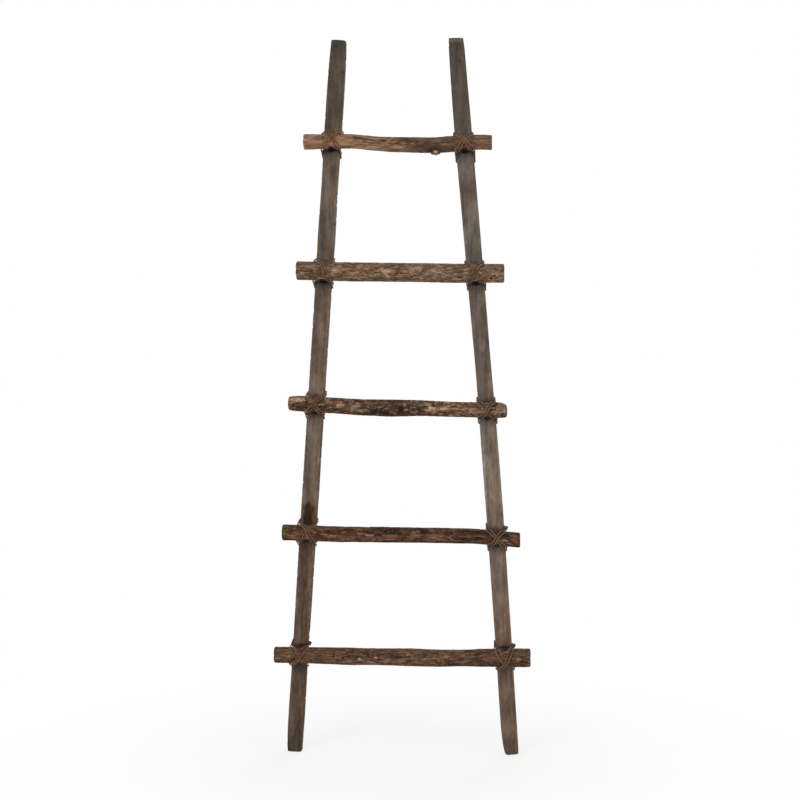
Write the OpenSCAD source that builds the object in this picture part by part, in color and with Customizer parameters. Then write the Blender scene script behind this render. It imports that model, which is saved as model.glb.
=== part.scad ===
// A rustic towel ladder: two sawn rails, five log rungs laid across their front
// faces, and at each crossing a lashing of thin cord over a hidden screw.
// The ladder stands upright on its feet. The rungs are on the -Y side.

/* [Ladder] */
// Height of both rails above the floor
ladder_h = 1524; // [1450:1:1650]
// Distance between the middles of the rails at the floor
foot_span = 465.5; // [440:0.5:500]
// Distance between the middles of the rails at their tops
top_span = 252.5; // [240:0.5:300]
// How far the head stands to the left of the middle of the feet
head_shift = 10.5; // [0:0.5:20]

/* [Rails] */
// Width of a rail across its front face
rail_w = 35; // [30:0.5:42]
// Thickness of a rail from its front face to its back face
rail_t = 22; // [18:0.5:30]
// Radius of the eased corners along a rail
rail_edge_r = 3; // [2:0.5:4]
// Radius of the rounder inner front corner of the left rail
wane_r = 6; // [4:0.5:8]
// How far the right rail bows outwards at its middle
right_bow = 3.5; // [0:0.5:8]

/* [Rungs] */
// Height of the axis of the top rung midway between the rails, as a share of the
// height of the rails
rung_1_up = 0.851; // [0.84:0.0005:0.86]
// Height of the axis of the second rung, as the same share
rung_2_up = 0.6725; // [0.66:0.0005:0.685]
// Height of the axis of the third rung, as the same share
rung_3_up = 0.4835; // [0.47:0.0005:0.495]
// Height of the axis of the fourth rung, as the same share
rung_4_up = 0.306; // [0.295:0.0005:0.315]
// Height of the axis of the lowest rung, as the same share
rung_5_up = 0.137; // [0.128:0.0005:0.147]
// Diameter of the top rung
rung_1_d = 32; // [28:0.5:38]
// Diameter of the second rung
rung_2_d = 40.5; // [34:0.5:44]
// Diameter of the third rung
rung_3_d = 34; // [30:0.5:40]
// Diameter of the fourth rung
rung_4_d = 33; // [29:0.5:39]
// Diameter of the lowest rung
rung_5_d = 36; // [32:0.5:42]
// Length of the top rung outside the middle of the left rail
rung_1_left = 58.5; // [45:0.5:75]
// Length of the top rung outside the middle of the right rail
rung_1_right = 59; // [45:0.5:75]
// Length of the second rung outside the middle of the left rail
rung_2_left = 56; // [45:0.5:75]
// Length of the second rung outside the middle of the right rail
rung_2_right = 61.5; // [45:0.5:75]
// Length of the third rung outside the middle of the left rail
rung_3_left = 56; // [45:0.5:75]
// Length of the third rung outside the middle of the right rail
rung_3_right = 43.5; // [38:0.5:65]
// Length of the fourth rung outside the middle of the left rail
rung_4_left = 51.5; // [42:0.5:70]
// Length of the fourth rung outside the middle of the right rail
rung_4_right = 50; // [40:0.5:70]
// Length of the lowest rung outside the middle of the left rail
rung_5_left = 52.5; // [42:0.5:70]
// Length of the lowest rung outside the middle of the right rail
rung_5_right = 54.5; // [42:0.5:70]
// Depth of the flat cut in the back of a rung where it bears on a rail
seat_depth = 2; // [1:0.5:3]
// Width by which the sawn ends of a rung are rounded
end_round = 2.5; // [0.5:0.5:3]
// Diameter of the cut twig on the top rung
twig_d = 12; // [8:0.5:13]
// How far the cut twig stands out of the bark
twig_out = 4.5; // [2:0.5:8]

/* [Lashings] */
// Diameter of the lashing cord
cord_d = 2.8; // [2.2:0.1:3.2]
// Clearance between the cord and the wood
cord_gap = 0.3; // [0.2:0.05:0.5]
// Clearance between two strands that lie side by side or cross
strand_gap = 0.8; // [0.6:0.1:1.2]
// Middle radius of the curl in which a knotted cord ends
knot_r = 3.4; // [3.2:0.1:4.5]

/* [Screws] */
// Diameter of a rung screw
screw_d = 4; // [3:0.5:5]
// Length of a rung screw from the face of its head to its point
screw_l = 40; // [34:1:44]
// Diameter of the countersunk head of a rung screw
screw_head_d = 8; // [7:0.5:9]
// Depth of a screw head's face below the back of the rail
screw_sink = 0.5; // [0.2:0.1:1]
// Clearance between a screw and its hole
screw_gap = 0.15; // [0.1:0.05:0.3]

/* [Hidden] */

LEFT = 0;
RIGHT = 1;

// Distance of the middle of a cord from the wood that it lies on
cord_off = cord_d / 2 + cord_gap;

// How far a shape reaches past the faces that trim it
over = rail_edge_r / 3;

// Facets round a screw hole
hole_fn = 32;

// Depth of the front face of the rails, which centres the ladder on its origin
rail_y = (max(rung_1_d, rung_2_d, rung_3_d, rung_4_d, rung_5_d) - seat_depth - rail_t) / 2;

rung_z = ladder_h * [rung_1_up, rung_2_up, rung_3_up, rung_4_up, rung_5_up];
rung_d = [rung_1_d, rung_2_d, rung_3_d, rung_4_d, rung_5_d];
rung_left = [rung_1_left, rung_2_left, rung_3_left, rung_4_left, rung_5_left];
rung_right = [rung_1_right, rung_2_right, rung_3_right, rung_4_right, rung_5_right];

// Shape of the edges of each rail: share of its height, then how far its left
// edge and its right edge stand out past half the rail's width, as shares of that half
left_rail_edges = [
    [0, -0.229, -0.057], [0.014, -0.114, -0.057], [0.05, -0.029, -0.029], [0.12, -0.057, -0.057],
    [0.34, 0, 0], [0.65, 0, 0], [0.73, 0.046, 0.046], [0.79, -0.011, -0.011],
    [0.87, 0.057, 0.057], [0.96, 0.017, 0.017], [0.985, -0.04, -0.04], [1, -0.114, -0.114]
];
right_rail_edges = [
    [0, -0.286, -0.057], [0.012, -0.143, -0.029], [0.035, -0.023, -0.011], [0.12, 0, 0],
    [0.42, 0.04, 0.04], [0.54, -0.029, -0.029], [0.65, 0.017, 0.017],
    [0.88, 0.057, 0.057], [0.955, 0, 0], [0.985, -0.04, -0.04], [1, -0.114, -0.114]
];

// Bend of the right rail: share of its height, share of its bow
right_rail_bend = [[0, -0.6], [0.28, 0.8], [0.45, 1], [0.6, 0.6], [0.9, -0.5], [1, -0.4]];

// Shares of the height at which a rail is measured out
rail_shares = concat(
    [-0.01, 0, 0.012, 0.03],
    [for (i = [1:13]) i / 14],
    [0.96, 0.985, 1, 1.01]
);

// Shape of each rung from its left end to its right end: share of its length, then
// how far its axis lies above its height and how far its radius swells, as shares of
// half the rung's diameter
rung_shapes = [
    [[0, 0.406, 0], [0.25, 0.406, -0.031], [0.37, 0.125, -0.044], [0.5, -0.094, 0],
     [0.7, -0.219, 0.031], [0.77, -0.125, 0.062], [0.92, 0.125, 0], [1, 0.062, -0.019]],
    [[0, 0.198, -0.025], [0.25, 0.049, 0], [0.5, -0.049, 0], [0.8, -0.173, 0],
     [1, -0.198, -0.015]],
    [[0, 0.559, -0.147], [0.05, 0.529, -0.024], [0.2, 0.294, 0], [0.35, 0.059, 0.029],
     [0.48, -0.029, 0.071], [0.6, -0.029, 0], [0.75, -0.176, -0.047],
     [0.9, -0.265, -0.029], [0.97, -0.294, -0.047], [1, -0.412, -0.235]],
    [[0, 0.303, 0.03], [0.1, 0.242, 0.048], [0.2, 0.121, 0.012], [0.45, 0.061, 0],
     [0.7, 0, -0.018], [0.82, -0.091, -0.03], [0.95, -0.424, -0.03],
     [1, -0.545, -0.048]],
    [[0, 0.083, -0.056], [0.15, 0.056, -0.033], [0.3, 0, 0.011], [0.38, -0.028, -0.022],
     [0.53, -0.028, 0.044], [0.63, -0.111, 0.006], [0.74, -0.056, -0.017],
     [0.82, 0, 0.039], [0.95, 0.056, 0.094], [1, 0.056, 0.083]]
];

// Sides of a rung's cross-section and rings along its length
rung_sides = 16;
rung_rings = 28;

// How far the flat seat in a rung reaches past each side of its rail
seat_margin = rail_edge_r / 2;

// Place of the cut twig along the top rung, and its turn about the rung
twig_share = 0.703;
twig_turn = 50;

// How each lashing lies: share of the way up the rung's front at which its strands
// cross, how much further up (or, below nought, down) the rail they are spread,
// which way it is wound, and whether it ends in a knot
lashing_lays = [
    [[0.66, -2, 1, false], [0.56, -4, -1, false]],
    [[0.66, 0, -1, false], [0.57, 0, 1, false]],
    [[0.5, 0, 1, false], [0.5, 0, 1, false]],
    [[0.66, 0, -1, false], [0.5, 0, 1, true]],
    [[0.42, 2, 1, true], [0.33, 0, 1, true]]
];

// Sides of the cord, and its rings round a rung's front, a back corner and a knot
cord_sides = 6;
front_rings = 9;
corner_rings = 3;
knot_rings = 8;

// At each corner of a crossing a near strand hugs the rail's front edge and a far
// strand runs free from the rung to the rail's back edge, so that the two fan out.
// Near strand: its turn at the front edge, the share of the edge's place at which it
// meets the rung, its rise from the rung to the back edge, and the front edge's share.
near_turn = 22;
near_share = 0.72;
near_rise = 1.6 * cord_d;
near_front_share = 0.12;

// Far strand: how far past the rail's side it leaves the rung, and its rise from the
// rung to the back edge
far_out = 1.45 * cord_d;
far_rise = 3.6 * cord_d;

// Spacing of two strands that lie side by side, and of their middles over the rung
strand_pitch = cord_d + strand_gap;
strand_spread = 1.45;
rung_step = strand_spread * strand_pitch;

// Where a strand rides over the ones it crosses: how far from the crossing the ride
// ends, how long the climb is, and the turn of the climb round a rail's back corner
ride_reach = 6 * cord_d;
ride_climb = 2.5 * cord_d;
ride_turn = 60;

// Height above the rung's underside that the hidden ends of a cord make for
end_rise = 1.4 * cord_d;

// Place of a knot: its middle outside the rail's side, its start in front of the
// rail's face, and its height clear of the rung
knot_out = 0.9 * cord_d;
knot_ahead = 2.05 * cord_d;
knot_up = 1.45 * cord_d;

// Direction that no stretch of a cord runs along
upright = [0.3, 0.2, 1];

// Cross slot of a screw: its length as a share of the head's width, its width as a
// share of the shank's and its depth as a share of the head's. Then the screw's
// point: its length in shank widths, and its tip's share of the shank's radius.
slot_shares = [0.55, 0.25, 0.8];
point_shares = [2, 0.2];

// Smooth value from a column of a table whose first column runs upwards
function slope_at(table, col, i) =
    let (a = max(i - 1, 0), b = min(i + 1, len(table) - 1))
    (table[b][col] - table[a][col]) / (table[b][0] - table[a][0]);
function row_below(table, t) =
    max([for (i = [0:len(table) - 2]) t >= table[i][0] ? i : 0]);
function read_table(table, col, t0) =
    let (
        t = max(table[0][0], min(table[len(table) - 1][0], t0)),
        i = row_below(table, t),
        h = table[i + 1][0] - table[i][0],
        u = (t - table[i][0]) / h,
        m0 = slope_at(table, col, i) * h,
        m1 = slope_at(table, col, i + 1) * h
    )
    (2 * u ^ 3 - 3 * u ^ 2 + 1) * table[i][col] + (u ^ 3 - 2 * u ^ 2 + u) * m0
        + (3 * u ^ 2 - 2 * u ^ 3) * table[i + 1][col] + (u ^ 3 - u ^ 2) * m1;

// Middle line and edges of a rail at a height
function rail_line(side, z) =
    let (share = z / ladder_h)
    side == LEFT
        ? -foot_span / 2 + (foot_span / 2 - top_span / 2 - head_shift) * share
        : foot_span / 2 - (foot_span / 2 - top_span / 2 + head_shift) * share
            + right_bow * read_table(right_rail_bend, 1, share);
function rail_edges(side) = side == LEFT ? left_rail_edges : right_rail_edges;
function rail_half(side, edge, z) =
    rail_w / 2 * (1 + read_table(rail_edges(side), edge + 1, z / ladder_h));
function rail_left(side, z) = rail_line(side, z) - rail_half(side, LEFT, z);
function rail_right(side, z) = rail_line(side, z) + rail_half(side, RIGHT, z);

// Ends, axis height and radius of a rung at a place along it
function rung_start(i) = rail_line(LEFT, rung_z[i]) - rung_left[i];
function rung_end(i) = rail_line(RIGHT, rung_z[i]) + rung_right[i];
function rung_share(i, x) = (x - rung_start(i)) / (rung_end(i) - rung_start(i));
function rung_r(i, x) = rung_d[i] / 2 * (1 + read_table(rung_shapes[i], 2, rung_share(i, x)));
function rung_axis_z(i, x) =
    rung_z[i] + rung_d[i] / 2 * read_table(rung_shapes[i], 1, rung_share(i, x));
function rung_axis_y(r) = rail_y + seat_depth - r;

// Place of the crossing of a rung and a rail
function cross_x(i, side) = rail_line(side, rung_z[i]);
function cross_z(i, side) = rung_axis_z(i, cross_x(i, side));

// Triangles between rings of points that follow each other, with both ends shut
function skin(rings, sides) = concat(
    [for (i = [0:rings - 2]) for (j = [0:sides - 1])
        let (a = i * sides + j, b = i * sides + (j + 1) % sides)
        each [[b, a, b + sides], [b + sides, a, a + sides]]],
    [for (j = [1:sides - 2]) [0, j, j + 1]],
    [for (j = [1:sides - 2]) let (k = (rings - 1) * sides) [k, k + j + 1, k + j]]
);

// Outline of one eased corner of a rail, from its side to past its face
function corner(x, y, sx, sy, r) = concat(
    [for (a = [0, 30, 60]) [x + sx * r * (cos(a) - 1), y + sy * r * (sin(a) - 1)]],
    [[x - sx * r, y + sy * over]]
);
function backwards(list) = [for (i = [len(list) - 1:-1:0]) list[i]];

// Cross-section of a rail at a height, counted round from its right side
function rail_section(side, z) =
    let (
        l = rail_left(side, z),
        r = rail_right(side, z),
        front = rail_y,
        back = rail_y + rail_t,
        inner = side == LEFT ? wane_r : rail_edge_r
    )
    concat(
        corner(r, back, 1, 1, rail_edge_r),
        backwards(corner(l, back, -1, 1, rail_edge_r)),
        corner(l, front, -1, -1, rail_edge_r),
        backwards(corner(r, front, 1, -1, inner))
    );

module rail_blank(side) {
    sections = [for (s = rail_shares) rail_section(side, s * ladder_h)];
    sides = len(sections[0]);
    points = [for (k = [0:len(sections) - 1]) for (p = sections[k])
        [p[0], p[1], rail_shares[k] * ladder_h]];
    intersection() {
        polyhedron(points, skin(len(sections), sides));
        translate([-foot_span, rail_y, 0]) cube([2 * foot_span, rail_t, ladder_h]);
    }
}

// Hole that a screw needs, from past the back of the rail to past its point
module screw_hole(extra) {
    head_r = screw_head_d / 2 + screw_gap;
    shank_r = screw_d / 2 + screw_gap;
    sink = screw_sink - screw_gap;
    rotate([90, 0, 0]) {
        translate([0, 0, -over]) cylinder(h = over + sink, r = head_r, $fn = hole_fn);
        translate([0, 0, sink]) cylinder(h = head_r - shank_r, r1 = head_r, r2 = shank_r, $fn = hole_fn);
        cylinder(h = screw_sink + screw_l + extra, r = shank_r, $fn = hole_fn);
    }
}

module at_screws(i, side) {
    translate([cross_x(i, side), rail_y + rail_t, cross_z(i, side)]) children();
}

module rail(side) {
    difference() {
        rail_blank(side);
        for (i = [0:4]) at_screws(i, side) screw_hole(over);
    }
}

module left_rail() {
    color([0.37, 0.31, 0.26]) rail(LEFT);
}

module right_rail() {
    color([0.42, 0.37, 0.32]) rail(RIGHT);
}

// Bark-covered log of a rung, with its sawn ends a little rounded
module rung_log(i) {
    start = rung_start(i);
    length = rung_end(i) - start;
    places = concat(
        [[0, end_round]],
        [for (k = [0:rung_rings - 1]) [end_round + (length - 2 * end_round) * k / (rung_rings - 1), 0]],
        [[length, end_round]]
    );
    points = [for (p = places) for (j = [0:rung_sides - 1])
        let (x = start + p[0], full = rung_r(i, x), r = full - p[1], a = 360 * j / rung_sides)
        [x, rung_axis_y(full) + r * cos(a), rung_axis_z(i, x) + r * sin(a)]];
    polyhedron(points, skin(len(places), rung_sides));
}

// Space of a rail's front face, which cuts the flat seat in the back of a rung
module seat_cut(i, side) {
    x = cross_x(i, side);
    z = cross_z(i, side);
    tall = rung_d[i] + 4 * seat_margin;
    lean = atan((rail_line(side, z + tall) - rail_line(side, z - tall)) / (2 * tall));
    wide = rail_w + 2 * seat_margin;
    translate([x, rail_y, z]) rotate([0, lean, 0]) translate([-wide / 2, 0, -tall / 2])
        cube([wide, rung_d[i], tall]);
}

module rung(i) {
    difference() {
        rung_log(i);
        for (side = [LEFT, RIGHT]) {
            seat_cut(i, side);
            at_screws(i, side) screw_hole(over);
        }
    }
}

// Stub of a twig cut off close to the bark of the top rung
module twig() {
    x = rung_start(0) + twig_share * (rung_end(0) - rung_start(0));
    r = rung_r(0, x);
    translate([x, rung_axis_y(r), rung_axis_z(0, x)]) rotate([90 + twig_turn, 0, 0])
        cylinder(h = r + twig_out, d = twig_d, $fn = hole_fn);
}

module rung_1() {
    color([0.42, 0.33, 0.26]) {
        rung(0);
        twig();
    }
}

module rung_2() {
    color([0.46, 0.36, 0.29]) rung(1);
}

module rung_3() {
    color([0.38, 0.29, 0.23]) rung(2);
}

module rung_4() {
    color([0.33, 0.24, 0.19]) rung(3);
}

module rung_5() {
    color([0.37, 0.28, 0.22]) rung(4);
}

// Distance of a path's vertices that keeps its straight runs outside an arc
function outside(r, span, n) = r / cos(span / n / 2);

// Sizes that a lashing works from, gathered once at its crossing: its place, half
// the rail's width, the radius round the rung and its axis, and the rail's lean
function lash_sizes(i, side) =
    let (
        z = cross_z(i, side),
        x = rail_line(side, z),
        reach = rail_w,
        half = max([for (h = [z - reach, z, z + reach]) for (e = [LEFT, RIGHT])
            rail_half(side, e, h)]),
        wide = half + cord_off + far_out,
        r = max([for (dx = [-wide, 0, wide]) rung_r(i, x + dx) + abs(rung_axis_z(i, x + dx) - z)]),
        lean = (rail_line(side, z + reach) - rail_line(side, z - reach)) / (2 * reach)
    )
    [x, z, half, r + cord_off, rung_axis_y(rung_r(i, x)), lean];

// Places round a back corner of the rail, from its side to its back
function back_corner(s, sx, lift) =
    [for (k = [0:corner_rings - 1])
        let (
            a = 90 * (k + 0.5) / corner_rings,
            q = outside(rail_edge_r + cord_off, 90, corner_rings) + lift * min(1, a / ride_turn)
        )
        [sx * (s[2] - rail_edge_r + q * cos(a)), rail_y + rail_t - rail_edge_r + q * sin(a)]];

// One pass round the back of the rail, from its right edge to its left edge
function round_back(s, from, to, lift) =
    let (
        places = concat(back_corner(s, 1, lift), backwards(back_corner(s, -1, lift))),
        turn_l = PI / 2 * (rail_edge_r + cord_off),
        back_l = 2 * (s[2] - rail_edge_r)
    )
    [for (k = [0:2 * corner_rings - 1])
        let (
            run = turn_l * (k + 0.5) / corner_rings + (k < corner_rings ? 0 : back_l),
            share = run / (2 * turn_l + back_l)
        )
        [places[k][0], places[k][1], from + (to - from) * share]];

// Angle from the rung's underside at which a strand leaves it for a point behind
function leaving(r, out, up) = acos(r / norm([out, up])) - atan2(out, up);

// One strand over the front of the rung, upwards from the left edge of the rail. It
// is the far one below and the near one above, or else the other way round. It
// crosses its fellow at the share middle and rides up by lift where it crosses others.
function over_rung(s, far_below, middle, far_low, far_high, lift) =
    let (
        r = s[3],
        ay = s[4],
        corner_r = rail_edge_r + cord_off,
        corner_x = s[2] - rail_edge_r,
        corner_y = rail_y + rail_edge_r,
        side_x = corner_x + corner_r,
        edge_x = corner_x + corner_r * cos(near_turn),
        edge_y = corner_y - corner_r * sin(near_turn),
        back = back_corner(s, 1, 0)[0][1] - ay,
        a_near = leaving(r, edge_y - ay, r),
        a_low = far_below ? leaving(r, back, far_low) : a_near,
        a_high = far_below ? a_near : leaving(r, back, far_high),
        span = 180 - a_low - a_high,
        step = span / front_rings,
        near_x = near_share * edge_x,
        far_x = side_x + far_out,
        across = [
            [a_low + step / 2, far_below ? -far_x : -near_x],
            [180 * middle, far_below ? -rung_step / 2 : rung_step / 2],
            [180 - a_high - step / 2, far_below ? near_x : far_x]
        ],
        on_rung = [for (k = [0:front_rings - 1])
            let (
                a = a_low + step * (k + 0.5),
                near = abs(a - 180 * middle) * PI / 180 * r,
                up = lift * max(0, min(1, (ride_reach - near) / ride_climb)),
                q = outside(r, span, front_rings) + up
            )
            [read_table(across, 1, a), ay - q * sin(a), -q * cos(a)]],
        turn_z = r + near_front_share * near_rise
    )
    far_below
        ? concat(on_rung, [[edge_x, edge_y, r], [side_x, corner_y, turn_z]])
        : concat([[-side_x, corner_y, -turn_z], [-edge_x, edge_y, -r]], on_rung);

// First part of a list, its last part, and a list of places on the other side
function first(list, n) = [for (i = [0:n - 1]) list[i]];
function last(list, n) = [for (i = [len(list) - n:len(list) - 1]) list[i]];
function mirrored(list) = [for (p = list) [-p[0], p[1], p[2]]];

// Curl beside the rail's edge, facing the front, in which a knotted cord ends
function knot(s) =
    let (
        x = s[2] + knot_out,
        y = rail_y - knot_ahead,
        z = s[3] + knot_up + knot_r
    )
    concat(
        [for (k = [0:knot_rings])
            let (a = 360 * k / knot_rings)
            [x + knot_r * cos(a), y + strand_pitch * k / knot_rings, z + knot_r * sin(a)]],
        [[x + knot_r, y + strand_pitch, z + cord_d]]
    );

// Whole route of a lashing about its crossing. Two strands run one way over the
// rung, one pass goes level round the back, and two strands cross over the first.
function lash_route(i, side) =
    let (
        s = lash_sizes(i, side),
        lay = lashing_lays[i][side],
        mid = lay[0],
        up = max(0, lay[1]),
        down = max(0, -lay[1]),
        near_high = s[3] + near_rise + up / 2,
        near_low = s[3] + near_rise + down / 2,
        far_high = s[3] + far_rise + up,
        far_low = s[3] + far_rise + down,
        hidden = end_rise - s[3],
        start = last(round_back(s, hidden, far_high, 0), corner_rings + 1),
        down_1 = mirrored(backwards(over_rung(s, false, mid, far_low, far_high, 0))),
        back_1 = round_back(s, -near_low, near_high, 0),
        down_2 = mirrored(backwards(over_rung(s, true, mid, far_low, far_high, 0))),
        level = round_back(s, -far_low, -far_low, 0),
        up_1 = over_rung(s, true, mid, far_low, far_high, strand_pitch),
        back_2 = round_back(s, near_high, -near_low, strand_pitch),
        up_2 = over_rung(s, false, mid, far_low, far_high, strand_pitch),
        tail = first(round_back(s, far_high, hidden, strand_pitch), corner_rings + 1),
        end = lay[3] ? knot(s) : tail,
        local = concat(start, down_1, back_1, down_2, level, up_1, back_2, up_2, end)
    )
    [for (p = local) [s[0] + lay[2] * p[0] + s[5] * p[2], p[1], s[1] + p[2]]];

function unit(v) = v / norm(v);

// Directions along a route, and directions square to it that don't twist
function headings(route) =
    let (n = len(route) - 1)
    [for (i = [0:n])
        let (
            before = i > 0 ? unit(route[i] - route[i - 1]) : [0, 0, 0],
            after = i < n ? unit(route[i + 1] - route[i]) : [0, 0, 0]
        )
        unit(before + after)];
function turned(v, along) = unit(v - (v * along) * along);
function square_to(dirs) =
    [for (i = 0, v = turned(upright, dirs[0]);
        i < len(dirs);
        i = i + 1, v = i < len(dirs) ? turned(v, dirs[i]) : v) v];

// Ring of points round a route, stretched across a bend to keep the cord's width
module cord(route) {
    dirs = headings(route);
    ups = square_to(dirs);
    end = len(route) - 1;
    points = [for (i = [0:end]) for (j = [0:cord_sides - 1])
        let (
            a = 360 * j / cord_sides,
            v = cord_d / 2 * (cos(a) * ups[i] + sin(a) * cross(dirs[i], ups[i])),
            leg = i > 0 && i < end ? unit(route[i + 1] - route[i]) : dirs[i],
            bend = leg - (leg * dirs[i]) * dirs[i],
            inward = norm(bend) > 0.01 ? unit(bend) : [0, 0, 0]
        )
        route[i] + v + (1 / (leg * dirs[i]) - 1) * (v * inward) * inward];
    polyhedron(points, skin(len(route), cord_sides));
}

module lashing(i, side) {
    color([0.41, 0.31, 0.22]) cord(lash_route(i, side));
}

module lashing_1_left() { lashing(0, LEFT); }
module lashing_1_right() { lashing(0, RIGHT); }
module lashing_2_left() { lashing(1, LEFT); }
module lashing_2_right() { lashing(1, RIGHT); }
module lashing_3_left() { lashing(2, LEFT); }
module lashing_3_right() { lashing(2, RIGHT); }
module lashing_4_left() { lashing(3, LEFT); }
module lashing_4_right() { lashing(3, RIGHT); }
module lashing_5_left() { lashing(4, LEFT); }
module lashing_5_right() { lashing(4, RIGHT); }

// Countersunk wood screw, head up at the origin and pointing down the -Y side
module screw() {
    head_r = screw_head_d / 2;
    shank_r = screw_d / 2;
    slot_l = slot_shares[0] * screw_head_d;
    slot_w = slot_shares[1] * screw_d;
    slot_h = slot_shares[2] * (head_r - shank_r);
    point_l = point_shares[0] * screw_d;
    tip_r = point_shares[1] * shank_r;
    rotate([90, 0, 0]) difference() {
        union() {
            cylinder(h = head_r - shank_r, r1 = head_r, r2 = shank_r, $fn = hole_fn);
            cylinder(h = screw_l - point_l, r = shank_r, $fn = hole_fn);
            translate([0, 0, screw_l - point_l])
                cylinder(h = point_l, r1 = shank_r, r2 = tip_r, $fn = hole_fn);
        }
        for (turn = [0, 90]) rotate([0, 0, turn]) translate([-slot_l / 2, -slot_w / 2, -over])
            cube([slot_l, slot_w, over + slot_h]);
    }
}

module rung_screws() {
    color([0.55, 0.55, 0.54]) for (i = [0:4]) for (side = [LEFT, RIGHT])
        at_screws(i, side) translate([0, -screw_sink, 0]) screw();
}

// Least gap of a cord to itself, measured between points along its route
measure_parts = 3;
function filled(route) = [for (i = [0:len(route) - 2]) for (k = [0:measure_parts - 1])
    route[i] + (route[i + 1] - route[i]) * k / measure_parts];
function lengths(p) = [for (i = 0, l = 0; i < len(p);
    i = i + 1, l = i < len(p) ? l + norm(p[i] - p[i - 1]) : l) l];
function self_gap(route) =
    let (p = filled(route), l = lengths(p), n = len(p) - 1)
    min([for (i = [0:n]) for (j = [i + 1:n]) if (l[j] - l[i] > 4 * cord_d) norm(p[j] - p[i])])
        - cord_d;
function route_length(route) = let (l = lengths(route)) l[len(l) - 1];

union() {
    for (i = [0:4]) for (side = [LEFT, RIGHT])
        echo(rung = i + 1, side = side, least_gap = self_gap(lash_route(i, side)),
            cord_length = route_length(lash_route(i, side)), rings = len(lash_route(i, side)));
}

left_rail();
right_rail();
rung_1();
rung_2();
rung_3();
rung_4();
rung_5();
lashing_1_left();
lashing_1_right();
lashing_2_left();
lashing_2_right();
lashing_3_left();
lashing_3_right();
lashing_4_left();
lashing_4_right();
lashing_5_left();
lashing_5_right();
rung_screws();
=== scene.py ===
# %% [markdown]
# # A rustic towel ladder
# Two sawn rails lean towards each other, and five logs lie across them, each held
# by a cord lashing at either end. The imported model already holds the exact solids:
# plain rails, plain logs and smooth cords. Here every one of them gets its real
# surface: weathered boards, bark that is worn through in patches, and twisted twine.
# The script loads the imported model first, because everything is fitted to it.

# %% Load the frame
import bpy
import bmesh
import math
from functools import lru_cache
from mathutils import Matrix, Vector, noise


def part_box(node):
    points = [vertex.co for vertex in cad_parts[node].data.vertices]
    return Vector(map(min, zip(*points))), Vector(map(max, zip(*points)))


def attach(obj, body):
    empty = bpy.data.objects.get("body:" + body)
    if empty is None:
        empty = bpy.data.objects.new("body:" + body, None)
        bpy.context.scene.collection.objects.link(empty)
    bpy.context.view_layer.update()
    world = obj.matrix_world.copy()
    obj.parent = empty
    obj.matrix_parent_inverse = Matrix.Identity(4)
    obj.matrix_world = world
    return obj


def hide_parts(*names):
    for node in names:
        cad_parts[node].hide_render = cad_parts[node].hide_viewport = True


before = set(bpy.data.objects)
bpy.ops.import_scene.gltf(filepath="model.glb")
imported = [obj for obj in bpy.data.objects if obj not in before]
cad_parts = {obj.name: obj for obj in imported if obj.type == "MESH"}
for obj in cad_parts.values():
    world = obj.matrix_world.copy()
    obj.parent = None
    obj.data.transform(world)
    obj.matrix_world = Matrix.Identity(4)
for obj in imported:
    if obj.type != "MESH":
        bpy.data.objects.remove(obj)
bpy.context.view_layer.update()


def rounded(numbers, digits=4):
    return [round(n, digits) for n in numbers]


# %% [markdown]
# ## The view
# A product picture is taken with a long lens from well away, so that the rails look
# straight. The camera stands level with the middle of the ladder and a little to
# its right, which shows a sliver of the side of each rail.

# %% Camera
CAMERA_AIM, CAMERA_AWAY = Vector((-0.00485, 0.00825, 0.7535)), 3.0
CAMERA_TURN = math.radians(3.4)
LENS_MM = 63.31


def put_in_scene(thing):
    bpy.context.scene.collection.objects.link(thing)
    return thing


camera = put_in_scene(bpy.data.objects.new("camera", bpy.data.cameras.new("camera")))
camera.data.lens = LENS_MM
view_way = Vector((math.sin(CAMERA_TURN), -math.cos(CAMERA_TURN), 0))
camera.location = CAMERA_AIM + CAMERA_AWAY * view_way
camera.rotation_euler = (math.pi / 2, 0, CAMERA_TURN)
bpy.context.scene.camera = camera
bpy.context.scene.view_settings.view_transform = "Standard"
print("camera at", rounded(camera.location, 3))

# %% [markdown]
# ## A small kit for materials
# Materials are trees of nodes. Short helpers make a node, join its sockets and do
# the usual sums, so that each finish below reads like a recipe. Colours are given as
# on a paint chart, from 0 to 255, and turned into the linear light of Blender.

# %% Helpers for materials
def linear(colour):
    """A paint chart's colour, three numbers up to 255, as linear light with full cover."""
    return [((max(c, 0) / 255 + 0.055) / 1.055) ** 2.4 for c in colour] + [1.0]


def new_material(name):
    material = bpy.data.materials.new(name)
    material.use_nodes = True
    return material, material.node_tree, material.node_tree.nodes["Principled BSDF"]


def join(tree, node, inputs):
    """Sets a node's inputs to plain values, or joins them to other nodes' outputs."""
    for key, value in inputs.items():
        if isinstance(value, bpy.types.NodeSocket):
            tree.links.new(value, node.inputs[key])
        else:
            node.inputs[key].default_value = value
    return node


def add(tree, kind, inputs=(), **settings):
    """A new node of a kind, with its settings and its inputs."""
    node = tree.nodes.new("ShaderNode" + kind)
    for key, value in settings.items():
        setattr(node, key, value)
    return join(tree, node, dict(inputs))


def maths(tree, operation, *values):
    return add(tree, "Math", enumerate(values), operation=operation).outputs[0]


def spread(tree, value, low, high, start=0.3, end=0.7):
    """A value that runs from start to end, as noise does, made to run from low to high."""
    ends = {"From Min": start, "From Max": end, "To Min": low, "To Max": high}
    return add(tree, "MapRange", {"Value": value, **ends}).outputs[0]


def dimmed(tree, colour, factor):
    return add(tree, "VectorMath", {0: colour, "Scale": factor}, operation="SCALE").outputs[0]


def carried(tree, name, output):
    """What the mesh carries at its vertices under that name."""
    return add(tree, "Attribute", attribute_name=name).outputs[output]


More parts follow.
